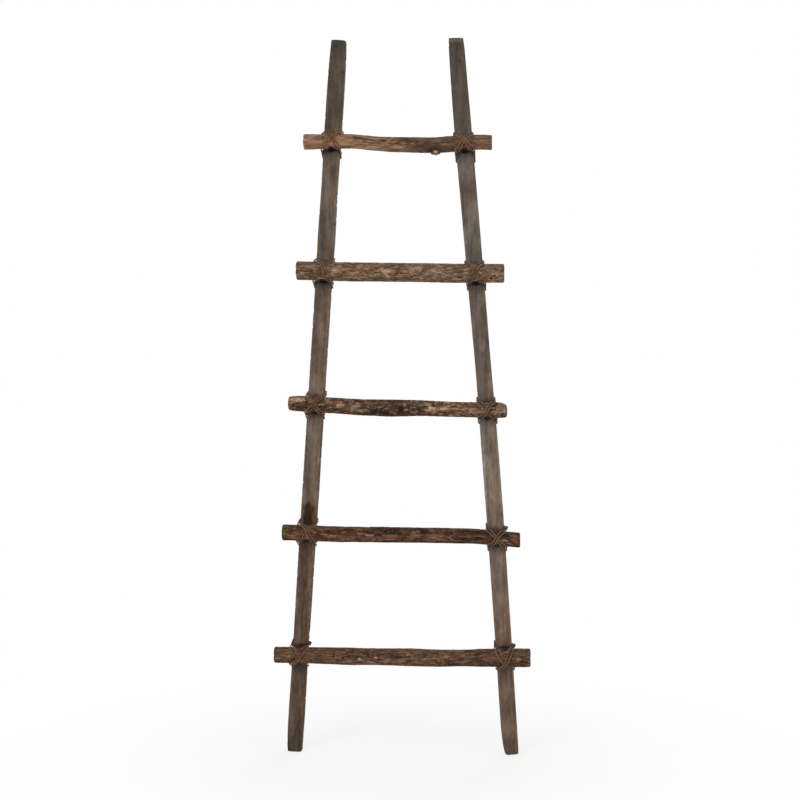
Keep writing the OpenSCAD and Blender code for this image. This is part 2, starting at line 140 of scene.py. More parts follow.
def stretched_noise(tree, scale, **inputs):
    """Noise in the piece's own space, with its own scale along X, Y and Z, per metre."""
    place = add(tree, "TexCoord").outputs["Object"]
    mapped = add(tree, "Mapping", {"Vector": place, "Scale": scale}).outputs[0]
    return add(tree, "TexNoise", {"Vector": mapped, "Scale": 1.0, **inputs}).outputs["Fac"]


def bump(tree, height, distance, strength, below=None):
    joins = {"Height": height, "Distance": distance, "Strength": strength}
    if below is not None:
        joins["Normal"] = below
    return add(tree, "Bump", joins).outputs[0]


print("helpers ready")

# %% [markdown]
# ## Floor and light
# A white studio: the floor and the world are white to the camera, and the world
# lights the ladder evenly at a bit over half strength. A large soft lamp in front,
# high on the left, adds the rest, so that logs look round and throw a soft shadow
# on the rails behind them. A weaker one on the right keeps that side from going grey.

# %% Floor, world and lamps
WHITE = (1, 1, 1, 1)
SKY_LIGHT = 0.46
FLOOR_HALF, FLOOR_DROP, FLOOR_PAINT = 9, 0.0003, (236, 236, 236)
# The floor glows white to the camera: by this share near the ladder, fully further out
GLOW_SHARE, GLOW_NEAR, GLOW_FAR = 0.8, 0.25, 0.9


def object_from(bm, name):
    """Puts a finished bmesh into the scene as an object."""
    mesh = bpy.data.meshes.new(name)
    bm.to_mesh(mesh)
    bm.free()
    return put_in_scene(bpy.data.objects.new(name, mesh))


def soft_lamp(name, place, aim_height, size, watts):
    lamp = bpy.data.lights.new(name, "AREA")
    lamp.shape, lamp.size, lamp.energy = "SQUARE", size, watts
    holder = put_in_scene(bpy.data.objects.new(name, lamp))
    holder.location = place
    beam = Vector((0, 0, aim_height)) - Vector(place)
    holder.rotation_euler = beam.to_track_quat("-Z", "Y").to_euler()


world = bpy.data.worlds.new("studio")
bpy.context.scene.world = world
world.use_nodes = True
sky = world.node_tree
sky.nodes.clear()
rays = add(sky, "LightPath").outputs
seen = maths(sky, "MAXIMUM", rays["Is Camera Ray"], rays["Is Glossy Ray"])
dim = add(sky, "Background", {"Color": WHITE, "Strength": SKY_LIGHT})
white = add(sky, "Background", {"Color": WHITE, "Strength": 1.0})
both = add(sky, "MixShader", {0: seen, 1: dim.outputs[0], 2: white.outputs[0]})
add(sky, "OutputWorld", {"Surface": both.outputs[0]})

bm = bmesh.new()
bmesh.ops.create_grid(bm, x_segments=1, y_segments=1, size=FLOOR_HALF)
bmesh.ops.translate(bm, verts=bm.verts, vec=(0, 0, -FLOOR_DROP))
floor = object_from(bm, "floor")

floor_paint, tree, shader = new_material("white floor")
join(tree, shader, {"Base Color": linear(FLOOR_PAINT), "Roughness": 0.9})
place = add(tree, "TexCoord").outputs["Object"]
away = add(tree, "VectorMath", {0: place}, operation="LENGTH").outputs["Value"]
fade = spread(tree, away, GLOW_SHARE, 1.0, GLOW_NEAR, GLOW_FAR)
share = maths(tree, "MULTIPLY", add(tree, "LightPath").outputs["Is Camera Ray"], fade)
glow = add(tree, "Emission", {"Color": WHITE, "Strength": 1.0})
shown = add(tree, "MixShader", {0: share, 1: shader.outputs[0], 2: glow.outputs[0]})
join(tree, tree.nodes["Material Output"], {"Surface": shown.outputs[0]})
floor.data.materials.append(floor_paint)

soft_lamp("key lamp", (-1.3, -2.6, 2.5), aim_height=0.8, size=1.4, watts=49)
soft_lamp("fill lamp", (2.2, -2.0, 1.2), aim_height=0.75, size=1.6, watts=16)
soft_lamp("back lamp", (0.6, 2.8, 2.2), aim_height=0.8, size=1.6, watts=26)
print("studio ready")

# %% [markdown]
# ## The ladder's measures
# A finished surface has to lie where its solid lies, so the numbers that place the
# rails and the logs are the same here as in the drawing. They are millimetres until
# a mesh is finished, and then the mesh is scaled to Blender's metres.
# Small tables say how an edge wanders or how a log swells, and one function reads
# them smoothly.

# %% Measures
LEFT, RIGHT = 0, 1
SIDES = ((LEFT, "left"), (RIGHT, "right"))
MM = 0.001
LADDER_H = 1524
FOOT_SPAN, TOP_SPAN, HEAD_SHIFT = 465.5, 252.5, 10.5
RAIL_W, RAIL_T = 35, 22
EDGE_R, WANE_R = 3, 6
RIGHT_BOW = 3.5
RUNG_Z = [LADDER_H * up for up in (0.851, 0.6725, 0.4835, 0.306, 0.137)]
RUNG_D = [32, 40.5, 34, 33, 36]
RUNG_LEFT = [58.5, 56, 56, 51.5, 52.5]
RUNG_RIGHT = [59, 61.5, 43.5, 50, 54.5]
SEAT_DEPTH, SEAT_MARGIN = 2, EDGE_R / 2
END_ROUND = [(2.5, 2.5), (2.4, 3.2), (4, 5.5), (2.5, 2.5), (2.5, 3)]
TWIG_D, TWIG_OUT, TWIG_SHARE, TWIG_TURN = 12, 4.5, 0.703, 50
RAIL_FRONT = (max(RUNG_D) - SEAT_DEPTH - RAIL_T) / 2

# For each rail, share of its height, then how far its left and right edges wander, as
# shares of half its width
RAIL_EDGES = [
    [[0, -0.229, -0.057], [0.014, -0.114, -0.057], [0.05, -0.029, -0.029],
     [0.12, -0.057, -0.057], [0.34, 0, 0], [0.65, 0, 0], [0.73, 0.046, 0.046],
     [0.79, -0.011, -0.011], [0.87, 0.057, 0.057], [0.96, 0.017, 0.017], [0.985, -0.04, -0.04],
     [1, -0.114, -0.114]],
    [[0, -0.286, -0.057], [0.012, -0.143, -0.029], [0.035, -0.023, -0.011], [0.12, 0, 0],
     [0.42, 0.04, 0.04], [0.54, -0.029, -0.029], [0.65, 0.017, 0.017], [0.88, 0.057, 0.057],
     [0.955, 0, 0], [0.985, -0.04, -0.04], [1, -0.114, -0.114]],
]
RIGHT_BEND = [[0, -0.6], [0.28, 0.8], [0.45, 1], [0.6, 0.6], [0.9, -0.5], [1, -0.4]]
# Share of the log's length, then shares of half its diameter: how far the axis lies
# above its height, and the swell
RUNG_SHAPES = [
    [[0, 0.406, 0], [0.25, 0.406, -0.031], [0.37, 0.125, -0.044], [0.5, -0.094, 0],
     [0.7, -0.219, 0.031], [0.77, -0.125, 0.062], [0.92, 0.125, 0], [1, 0.062, -0.019]],
    [[0, 0.198, -0.025], [0.25, 0.049, 0], [0.5, -0.049, 0], [0.8, -0.173, 0],
     [1, -0.198, -0.015]],
    [[0, 0.559, -0.147], [0.05, 0.529, -0.024], [0.2, 0.294, 0], [0.35, 0.059, 0.029],
     [0.48, -0.029, 0.071], [0.6, -0.029, 0], [0.75, -0.176, -0.047], [0.9, -0.265, -0.029],
     [0.97, -0.294, -0.047], [1, -0.412, -0.235]],
    [[0, 0.303, 0.03], [0.1, 0.242, 0.048], [0.2, 0.121, 0.012], [0.45, 0.061, 0],
     [0.7, 0, -0.018], [0.82, -0.091, -0.03], [0.95, -0.424, -0.03], [1, -0.545, -0.048]],
    [[0, 0.083, -0.056], [0.15, 0.056, -0.033], [0.3, 0, 0.011], [0.38, -0.028, -0.022],
     [0.53, -0.028, 0.044], [0.63, -0.111, 0.006], [0.74, -0.056, -0.017], [0.82, 0, 0.039],
     [0.95, 0.056, 0.094], [1, 0.056, 0.083]],
]


def read_table(table, column, at):
    """Smooth value of a column, where the table's first column runs upwards."""
    at = min(max(at, table[0][0]), table[-1][0])
    i = max(k for k in range(len(table) - 1) if at >= table[k][0])

    def slope_at(k):
        a, b = table[max(k - 1, 0)], table[min(k + 1, len(table) - 1)]
        return (b[column] - a[column]) / (b[0] - a[0])

    step = table[i + 1][0] - table[i][0]
    u = (at - table[i][0]) / step
    rise = (3 - 2 * u) * u * u
    return (table[i][column] * (1 - rise) + table[i + 1][column] * rise
            + (u ** 3 - 2 * u ** 2 + u) * slope_at(i) * step
            + (u ** 3 - u ** 2) * slope_at(i + 1) * step)


@lru_cache(None)
def rail_line(side, z):
    share = z / LADDER_H
    if side == LEFT:
        return -FOOT_SPAN / 2 + (FOOT_SPAN / 2 - TOP_SPAN / 2 - HEAD_SHIFT) * share
    return (FOOT_SPAN / 2 - (FOOT_SPAN / 2 - TOP_SPAN / 2 + HEAD_SHIFT) * share
            + RIGHT_BOW * read_table(RIGHT_BEND, 1, share))


@lru_cache(None)
def rail_half(side, edge, z):
    return RAIL_W / 2 * (1 + read_table(RAIL_EDGES[side], edge + 1, z / LADDER_H))


def rung_start(i):
    return rail_line(LEFT, RUNG_Z[i]) - RUNG_LEFT[i]


def rung_end(i):
    return rail_line(RIGHT, RUNG_Z[i]) + RUNG_RIGHT[i]


def rung_share(i, x):
    return (x - rung_start(i)) / (rung_end(i) - rung_start(i))


@lru_cache(None)
def rung_place(i, share):
    return rung_start(i) + share * (rung_end(i) - rung_start(i))


@lru_cache(None)
def rung_r(i, x):
    return RUNG_D[i] / 2 * (1 + read_table(RUNG_SHAPES[i], 2, rung_share(i, x)))


@lru_cache(None)
def rung_axis_z(i, x):
    return RUNG_Z[i] + RUNG_D[i] / 2 * read_table(RUNG_SHAPES[i], 1, rung_share(i, x))


def rung_axis_y(r):
    return RAIL_FRONT + SEAT_DEPTH - r


for i in range(5):
    low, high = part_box(f"rung_{i + 1}")
    print(f"log {i + 1}: drawn", rounded((low.x, high.x)), "m, here",
          rounded((rung_start(i) * MM, rung_end(i) * MM)), "m")

# %% [markdown]
# ## Tools that every piece shares
# Logs, twine and the twig all start as the same round blank: a cylinder from
# create_cone whose long edges are cut into many rings. The vertices are then moved
# to their places, as a turner or carver would work one blank into many things.
# Smooth noise of a chosen size makes lumps, grain and stains, and soft steps turn
# it into patches. A colour is kept at each vertex, so relief and colour agree.

# %% Shared tools
def round_blank(sides, rings):
    """Closed cylinder of radius 1 from z -0.5 to 0.5, cut into rings."""
    bm = bmesh.new()
    bmesh.ops.create_cone(bm, cap_ends=True, segments=sides, radius1=1, radius2=1, depth=1)
    staves = [e for e in bm.edges if abs(e.verts[0].co.z - e.verts[1].co.z) > 0.5]
    bmesh.ops.subdivide_edges(bm, edges=staves, cuts=rings, use_grid_fill=True)
    return bm


def wood_blank(sides, rings, end_rings, end_step):
    """Round blank whose two ends are cut into rings as well."""
    bm = round_blank(sides, rings)
    caps = [f for f in bm.faces if len(f.verts) > 4]
    for cap in caps:
        for _ in range(end_rings):
            bmesh.ops.inset_region(bm, faces=[cap], thickness=end_step, use_even_offset=True)
    bmesh.ops.poke(bm, faces=caps)
    return bm


def wood_layers(bm):
    """Layers for the colour, with any painted shade, and for year rings. The ends get the piece's
    second material.
    """
    colour_and_shade = bm.verts.layers.float_color.new("colour_and_shade")
    heart = bm.verts.layers.float.new("heart")
    for f in bm.faces:
        f.material_index = int(abs(f.normal.z) > 0.5)
    return colour_and_shade, heart


def swell(p, size, seed):
    """Smooth noise from about -0.7 to 0.7, whose lumps have that size along X, Y and Z."""
    return noise.noise(Vector((p[0] / size[0] + seed, p[1] / size[1] + 3.1 * seed,
                               p[2] / size[2] - 1.7 * seed)))


def swells(p, sizes, seed):
    """One swell for each named size, with a seed of its own."""
    return {name: swell(p, size, seed + k) for k, (name, size) in enumerate(sizes.items())}


def soft_step(value, low, high):
    u = min(max((value - low) / (high - low), 0), 1)
    return u * u * (3 - 2 * u)


def mix(a, b, share):
    return [p + (q - p) * share for p, q in zip(a, b)]


def shade(colour, factor):
    return [c * factor for c in colour]


def in_metres(bm, name):
    """Turns a finished bmesh in millimetres into an object in metres."""
    bmesh.ops.scale(bm, vec=(MM, MM, MM), verts=bm.verts)
    bmesh.ops.recalc_face_normals(bm, faces=bm.faces)
    return object_from(bm, name)


def finish_piece(bm, name, materials, stands_for=()):
    """Makes a smooth piece that rides the ladder and stands for nodes of the frame."""
    piece = in_metres(bm, name)
    for material in materials:
        piece.data.materials.append(material)
    piece.data.shade_smooth()
    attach(piece, "root")
    if stands_for:
        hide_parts(*stands_for)
    return piece


def tell(piece, *more):
    count = sum(len(p.vertices) - 2 for p in piece.data.polygons)
    print(piece.name, count, "triangles", *more)


print("tools ready")

# %% [markdown]
# ## Finishes
# Wood seen close has three scales. Patches and cracks are in the mesh and in the
# vertex colour. Fine grain runs along the piece, so the noise is stretched that way.
# The finest tooth is only bump. Weathered wood and bark are quite matt, and the
# palest fibres are a bit smoother than the dirt between them.

# %% Wood and bark
LINE_SLIM, FIBRE_SLIM = 22, 9  # how many times longer than wide the grain is
DEEP, SHALLOW, FINE = 0.0006, 0.0003, 0.0002  # heights of the bumps in metres


def wood_finish(name, long_axis, grain, fibre, tooth, streaky, relief, rough, shine):
    """Coloured by the mesh's own colour layer, painted shade included, with grain along one axis.
    Sizes are per metre, and streaky says by what share the grain lightens and darkens that colour."""
    material, tree, shader = new_material(name)

    def along_grain(scale, slim, **inputs):
        scales = [scale] * 3
        scales[long_axis] = scale / slim
        return stretched_noise(tree, scales, **inputs)

    lines = along_grain(grain, LINE_SLIM, Detail=5.0, Roughness=0.62)
    fibres = along_grain(fibre, FIBRE_SLIM, Detail=3.0, Roughness=0.6)
    specks = along_grain(tooth, 1, Detail=2.0)
    light = maths(tree, "MULTIPLY", spread(tree, lines, 1 - streaky, 1 + streaky),
                  spread(tree, fibres, 1 - 0.7 * streaky, 1 + 0.7 * streaky))
    normal = bump(tree, lines, DEEP, relief)
    normal = bump(tree, fibres, SHALLOW, 0.8 * relief, normal)
    join(tree, shader, {
        "Base Color": dimmed(tree, carried(tree, "colour_and_shade", "Color"), light),
        "Roughness": spread(tree, fibres, rough + 0.08, rough - 0.1),
        "Specular IOR Level": shine,
        "Normal": bump(tree, specks, FINE, 0.6 * relief, normal)})
    return material


def end_grain_finish(name, ring_mm):
    """Year rings about the heart, from the distance that the mesh carries."""
    material, tree, shader = new_material(name)
    wander = stretched_noise(tree, [90] * 3, Detail=3.0)
    pores = stretched_noise(tree, [1500] * 3, Detail=2.0)
    away = maths(tree, "MULTIPLY_ADD", wander, 3.0, carried(tree, "heart", "Fac"))
    rings = maths(tree, "SINE", maths(tree, "MULTIPLY", away, 2 * math.pi / ring_mm))
    light = maths(tree, "MULTIPLY", spread(tree, rings, 0.78, 1.14, -1, 1),
                  spread(tree, pores, 0.78, 1.18))
    join(tree, shader, {
        "Base Color": dimmed(tree, carried(tree, "colour_and_shade", "Color"), light),
        "Roughness": 0.85, "Specular IOR Level": 0.25,
        "Normal": bump(tree, pores, SHALLOW, 0.5, bump(tree, rings, FINE, 0.5))})
    return material


bark_finish = wood_finish("bark", 0, grain=520, fibre=1500, tooth=2600, streaky=0.14,
                          relief=0.6, rough=0.8, shine=0.12)
board_finish = wood_finish("sawn board", 2, grain=420, fibre=1400, tooth=2400,
                           streaky=0.075, relief=0.32, rough=0.78, shine=0.18)
end_grain = end_grain_finish("end grain", ring_mm=1.7)
print("finishes:", bark_finish.name, board_finish.name, end_grain.name)

# %% [markdown]
# ## The rails
# Each rail is a sawn board that has greyed in the weather. Its corners are eased,
# the inner front corner of the left one is waney, its edges wander, and its ends
# are worn. The board starts as a cube, its upright corners are bevelled, its faces
# are cut into a fine grid, and then the grid is bent to the rail's line and given
# grain and nicks. A table of paint colours says how the colour of the face changes
# from the feet to the top, where it is darker, and a short list places the stains
# and knots that stand out.

# %% Colours and marks of the rails
# Share of the height, then the colour of the face there, darker towards the top
BOARD_COLOURS = [
    [[0, 86, 70, 58], [0.3, 94, 78, 66], [0.42, 104, 89, 77], [0.58, 100, 86, 72],
     [0.72, 87, 76, 65], [0.8, 94, 82, 70], [0.9, 80, 70, 60], [1, 70, 62, 53]],
    [[0, 99, 83, 71], [0.25, 112, 95, 82], [0.42, 120, 107, 95], [0.54, 98, 86, 76],
     [0.7, 98, 88, 79], [0.8, 94, 85, 76], [0.9, 80, 73, 64], [1, 70, 62, 53]],
]
# Height, place across the face from -1 to 1, half length and half width in mm,
# colour, strength, and how far it stands out of the face
BOARD_MARKS = [
    [(499, -0.08, 32, 12, (44, 30, 20), 1.0, -0.1), (425, -0.25, 34, 10, (70, 52, 40), 0.75, 0),
     (523, -0.2, 15, 10, (48, 32, 21), 1.0, -0.1), (330, -0.1, 44, 9, (62, 48, 37), 0.7, 0),
     (15, 0, 34, 20, (62, 56, 45), 0.7, 0), (440, 0.84, 60, 2.6, (114, 97, 82), 0.7, 0),
     (310, 0.82, 70, 3, (114, 96, 80), 0.7, 0), (395, 0.25, 55, 3, (66, 52, 40), 0.6, 0),
     (350, -0.35, 90, 4, (106, 78, 55), 0.5, 0), (300, 0.5, 70, 2.5, (60, 50, 38), 0.5, 0),
     (210, 0.1, 60, 5, (78, 72, 56), 0.5, 0), (120, -0.3, 70, 3.5, (104, 78, 58), 0.4, 0),
     (60, 0.4, 40, 3, (62, 50, 40), 0.5, 0), (820, 0.9, 330, 3.2, (128, 114, 101), 0.45, 0),
     (1210, 0.92, 170, 3, (118, 105, 93), 0.5, 0), (1100, -0.2, 60, 2, (74, 62, 52), 0.5, 0),
     (960, 0.3, 80, 2.5, (84, 70, 58), 0.4, 0), (700, -0.5, 90, 3, (116, 101, 88), 0.4, 0),
     (1390, 0.3, 50, 3, (64, 58, 48), 0.5, 0), (1480, -0.4, 30, 4, (66, 56, 46), 0.4, 0),
     (640, 0.97, 55, 1.2, (58, 47, 38), 0.7, 0)],
    [(1160, -0.72, 48, 1.6, (62, 54, 48), 0.8, -0.1),
     (1476, 0.25, 4, 3.5, (54, 44, 36), 0.9, 0.3), (1521, 0, 7, 20, (100, 98, 86), 0.75, 0),
     (14, 0.1, 26, 20, (72, 62, 56), 0.6, 0), (830, -0.6, 70, 6, (84, 74, 66), 0.5, 0),
     (660, -0.85, 90, 4, (130, 120, 110), 0.4, 0), (871, 0.1, 16, 8, (122, 108, 96), 0.5, 0.2),
     (379, -0.1, 18, 9, (124, 104, 88), 0.5, 0.2), (300, 0.35, 80, 3, (132, 96, 68), 0.5, 0),
     (190, -0.3, 80, 4, (126, 92, 66), 0.5, 0), (90, 0.4, 50, 3, (122, 88, 62), 0.5, 0),
     (150, 0.7, 60, 2, (78, 62, 52), 0.5, 0), (520, -0.6, 90, 2.4, (92, 80, 70), 0.5, 0),
     (640, 0.5, 110, 3, (124, 110, 98), 0.4, 0), (960, -0.4, 80, 2.6, (90, 80, 72), 0.5, 0),
     (1010, 0.6, 60, 3, (120, 110, 101), 0.4, 0), (1260, 0.1, 60, 3, (88, 82, 70), 0.5, 0),
     (1400, -0.5, 70, 3, (68, 62, 52), 0.5, 0), (1340, 0.6, 60, 2, (100, 92, 78), 0.4, 0),
     (440, 0.9, 60, 1.6, (84, 70, 60), 0.5, 0)],
]
# Painted shade in the hollow between the strands of a lashing, by log and side: below the log (-1)
# or above it (1), and how dark
HOLLOW_SHADES = [((-1, 0.95), (-1, 0.85)), ((-1, 0.85), (-1, 0.95)), ((-1, 0.55), (-1, 0.5)),
           ((-1, 0.9), (-1, 0.4)), ((1, 0.45), (1, 0.6))]
# The colour of the painted shade in that hollow, and of a fainter, reddish painted shade on the
# rail just across the log from it
HOLLOW_SHADE_COLOUR, HOLLOW_WARM_SHADE = (26, 15, 9), (76, 50, 38)
# Close above and below a log the rail is darkened to this share, over so many mm
SHADOW_LIGHT, SHADOW_REACH = 0.7, 5
# Size across, through and along the board of each thing that varies on its face
BOARD_NOISE = dict(grain=(2.7, 2.7, 75), band=(7, 7, 190), blotch=(16, 16, 46),
                   nick=(12, 12, 6), wave=(24, 24, 160), warm=(9, 9, 120), mottle=(5, 5, 11))
MARK_EDGE = (4, 4, 22)  # the same for the ragged edge of a mark
# Height and radius of each log where it crosses each rail
CONTACT = [[(rung_axis_z(i, rail_line(side, RUNG_Z[i])), RUNG_D[i] / 2) for i in range(5)]
           for side in (LEFT, RIGHT)]


def board_colour(side, z):
    return [read_table(BOARD_COLOURS[side], k, z / LADDER_H) for k in (1, 2, 3)]


def spot(up, high, across, wide, low, full):
    """1 inside an oval spot with a soft edge, and 0 outside it."""
    return 1 - soft_step(math.hypot(up / high, across / wide), low, full)


def board_face(side, p, across, front):
    """Lift of a board's face in mm and its colour. across runs from -1 to 1."""
    n = swells(p, BOARD_NOISE, 5.3 + 11.9 * side)
    nick = soft_step(n["nick"], 0.27, 0.5) * soft_step(abs(across), 0.78, 0.95)
    lift = 0.3 * n["wave"] + 0.12 * n["grain"] + 0.1 * n["blotch"] - 0.9 * nick
    colour = shade(board_colour(side, p.z), 1 + 0.12 * n["grain"] + 0.14 * n["band"]
                   + 0.24 * n["blotch"] + 0.14 * n["mottle"])
    colour = [colour[0], colour[1] * (1 - 0.01 * across), colour[2] * (1 - 0.04 * across)]
    warm = [colour[0] * 1.03, colour[1] * 0.98, colour[2] * 0.93]
    colour = mix(colour, warm, soft_step(n["warm"], 0.05, 0.5))
    if front:
        for z, u, length, width, paint, strength, stand in BOARD_MARKS[side]:
            dz, dx = (p.z - z) / length, (across - u) * RAIL_W / 2 / width
            if abs(dz) < 1.6 and abs(dx) < 1.8:
                away = math.hypot(dz, dx) + 0.55 * swell(p, MARK_EDGE, z)
                cover = 1 - soft_step(away, 0.55, 1.15)
                paint = shade(paint, 1 + 0.2 * n["grain"] + 0.2 * n["mottle"])
                colour = mix(colour, paint, cover * strength)
                lift += stand * cover
        # Painted shadow on the rail close above and below each log, dark painted shade in the
        # hollow between the strands of its lashing, and a fainter reddish painted shade across the
        # log from that
        for (z, r), pair in zip(CONTACT[side], HOLLOW_SHADES):
            up, (way, dark) = p.z - z, pair[side]
            if abs(up) < r + 2 * SHADOW_REACH:
                out = soft_step(abs(up), r, r + SHADOW_REACH)
                colour = shade(colour, SHADOW_LIGHT + (1 - SHADOW_LIGHT) * out)
                x = across * RAIL_W / 2
                hollow_shade = spot(up - way * (r + 1), 4.6, x, 8, 0.65, 1.05)
                # The reddish spot across the log is painted shade in the gap between log and rail
                rust_and_shade = spot(up + way * (r + 3), 5, x, 9, 0.6, 1.1)
                colour = mix(colour, HOLLOW_SHADE_COLOUR, dark * hollow_shade)
                colour = mix(colour, HOLLOW_WARM_SHADE, 0.45 * rust_and_shade)
    edge = soft_step(abs(across), 0.7, 1.0)
    return lift, shade(colour, 1 + 0.12 * edge - 0.3 * nick)


print("marks on the rails:", [len(marks) for marks in BOARD_MARKS])

# %% Board blank
# Place across the board from -1 to 1, then how many mm the saw and wear took off its
# foot and off its top
BOARD_ENDS = [
    [[-1, 3.4, 0.7], [-0.86, 1.5, 0.1], [-0.5, 0.8, 0], [0, 0.4, 0.5], [0.7, 0, 1.5],
     [0.9, 0.1, 1.9], [1, 1.2, 2.8]],
    [[-1, 4, 0.9], [-0.84, 1.4, 0.2], [-0.5, 0, 0], [0.2, 0.8, 0], [0.7, 1.8, 0.1],
     [0.88, 2.3, 0.4], [1, 4.2, 1.6]],
]
END_REACH = 15  # how far from an end that wear is felt
END_COLOUR = (112, 92, 74)
BOARD_ROWS, BOARD_CELL = 700, 1.35
CAP_RIM, CAP_SUNK, CAP_RING = 1.0, 0.8, 2.5  # the rails' end faces
HEART_ASIDE, HEART_BACK = 24, 52  # where the tree's heart was, from the foot's middle


def board_blank(side):
    """Sawn board with eased upright corners, cut into a fine grid, ends filled."""
    bm = bmesh.new()
    bmesh.ops.create_cube(bm, size=1)
    bmesh.ops.scale(bm, vec=(RAIL_W, RAIL_T, LADDER_H), verts=bm.verts)

    def rise(e):
        return abs(e.verts[0].co.z - e.verts[1].co.z)

    def corners(waney):
        """Sharp upright edges. The left rail's inner front one is waney."""
        places = [(e, e.verts[0].co) for e in bm.edges if rise(e) > 1]
        return [e for e, at in places
                if abs(abs(at.x) - RAIL_W / 2) < 0.01 and abs(abs(at.y) - RAIL_T / 2) < 0.01
                and (side == LEFT and at.y < 0 < at.x) == waney]

    for waney, radius in ((False, EDGE_R), (True, WANE_R)):
        if corners(waney):
            bmesh.ops.bevel(bm, geom=corners(waney), offset=radius, offset_type="OFFSET",
                            segments=5, profile=0.5, affect="EDGES", material=-1)
    ends = [f for f in bm.faces if abs(f.normal.z) > 0.9]
    bmesh.ops.delete(bm, geom=ends, context="FACES_ONLY")
    level = [e for e in bm.edges if rise(e) < 1 and e.calc_length() > 5]
    for length in sorted({round(e.calc_length(), 2) for e in level}):
        same = [e for e in level if e.is_valid and abs(e.calc_length() - length) < 0.02]
        bmesh.ops.subdivide_edges(bm, edges=same, cuts=round(length / BOARD_CELL),
                                  use_grid_fill=True)
    tall = [e for e in bm.edges if rise(e) > 1]
    bmesh.ops.subdivide_edges(bm, edges=tall, cuts=BOARD_ROWS, use_grid_fill=True)
    rims = [e for e in bm.edges if e.is_boundary]
    caps = bmesh.ops.holes_fill(bm, edges=rims, sides=0)["faces"]
    for cap in caps:
        middle = list(cap.verts)
        bmesh.ops.inset_region(bm, faces=[cap], thickness=CAP_RIM, use_even_offset=True)
        for v in middle:  # the inset's new ring stays level, and the points inside it sink
            v.co.z *= 1 - 2 * CAP_SUNK / LADDER_H
        bmesh.ops.inset_region(bm, faces=[cap], thickness=CAP_RING, use_even_offset=True)
    bmesh.ops.poke(bm, faces=caps)
    return bm


def bend_board(side):
    bm = board_blank(side)
    colour_and_shade, heart = wood_layers(bm)
    for v in bm.verts:
        across = v.co.x / (RAIL_W / 2)
        z = round(v.co.z + LADDER_H / 2, 3)
        v.co.x = rail_line(side, z) + across * rail_half(side, LEFT if across < 0 else RIGHT, z)
        v.co.y += RAIL_FRONT + RAIL_T / 2
        v.co.z = z
        v[colour_and_shade] = (across, 0, 0, 1)
    bm.normal_update()
    for v in bm.verts:
        across = v[colour_and_shade][0]
        lift, colour = board_face(side, v.co, across, v.normal.y < -0.2)
        v[heart] = math.hypot(v.co.x - rail_line(side, 0) - HEART_ASIDE, v.co.y - HEART_BACK)
        if abs(v.normal.z) > 0.6:
            lift, colour = 0.5 * lift, mix(colour, END_COLOUR, 0.5)
        v.co += lift * v.normal
        near_foot = 1 - soft_step(v.co.z, 0, END_REACH)
        near_top = soft_step(v.co.z, LADDER_H - END_REACH, LADDER_H)
        cut = (read_table(BOARD_ENDS[side], 1, across) * near_foot
               - read_table(BOARD_ENDS[side], 2, across) * near_top)
        v.co.z = min(max(v.co.z + cut, 0), LADDER_H)
        v[colour_and_shade] = linear(colour)
    return bm


print("board blanks are cut into", BOARD_ROWS, "rows")

# %% [markdown]
# Each log is held by a screw from behind, so the back of each rail has five
# countersunk pockets. The pocket is turned with a spin, like on a lathe, and a
# Boolean cuts five of them out of the board, because its grid is too coarse for a
# crisp round hole. The Boolean is applied at once, so that the mesh is final.

# %% Rails with their screw pockets
# Radius, and depth from the rail's back
SCREW_PROFILE = [(0, 1), (4.15, 1), (4.15, -0.35), (2.15, -2.35), (2.15, -5), (0, -5)]


def screw_pockets(side):
    bm = bmesh.new()
    for i in range(5):
        x = rail_line(side, RUNG_Z[i])
        centre = Vector((x, RAIL_FRONT + RAIL_T, rung_axis_z(i, x)))
        profile = [bm.verts.new(centre + Vector((r, deep, 0))) for r, deep in SCREW_PROFILE]
        edges = [bm.edges.new(pair) for pair in zip(profile, profile[1:])]
        bmesh.ops.spin(bm, geom=profile + edges, cent=centre, axis=(0, 1, 0),
                       angle=2 * math.pi, steps=32, use_merge=True)
    bmesh.ops.remove_doubles(bm, verts=bm.verts, dist=0.001)
    return in_metres(bm, "pockets")


def cut_out(piece, cutter):
    """Cuts the cutter out of a piece, applies the cut and throws the cutter away."""
    cut = piece.modifiers.new("cut", "BOOLEAN")
    cut.operation, cut.solver, cut.object = "DIFFERENCE", "EXACT", cutter
    bpy.context.view_layer.update()
    result = piece.evaluated_get(bpy.context.evaluated_depsgraph_get())
    done = bpy.data.meshes.new_from_object(result)
    piece.modifiers.clear()
    piece.data = done
    bpy.data.objects.remove(cutter)


for side, word in SIDES:
    rail = finish_piece(bend_board(side), f"sawn_rail_{word}", [board_finish, end_grain],
                        [f"{word}_rail"])
    cut_out(rail, screw_pockets(side))
    tell(rail)

# %% [markdown]
# ## The logs
# The rungs are thin logs with the bark left on. Bark is a skin of small plates,
# longer than they are wide, with dark cracks between them, and handling has rubbed
# it through to paler wood in patches. Each log has its own bark colour and wear.
# A noise that finds the nearest cell gives the plates, smooth noise decides where
# the bark is gone, and a short list per log places the marks that the eye notices.

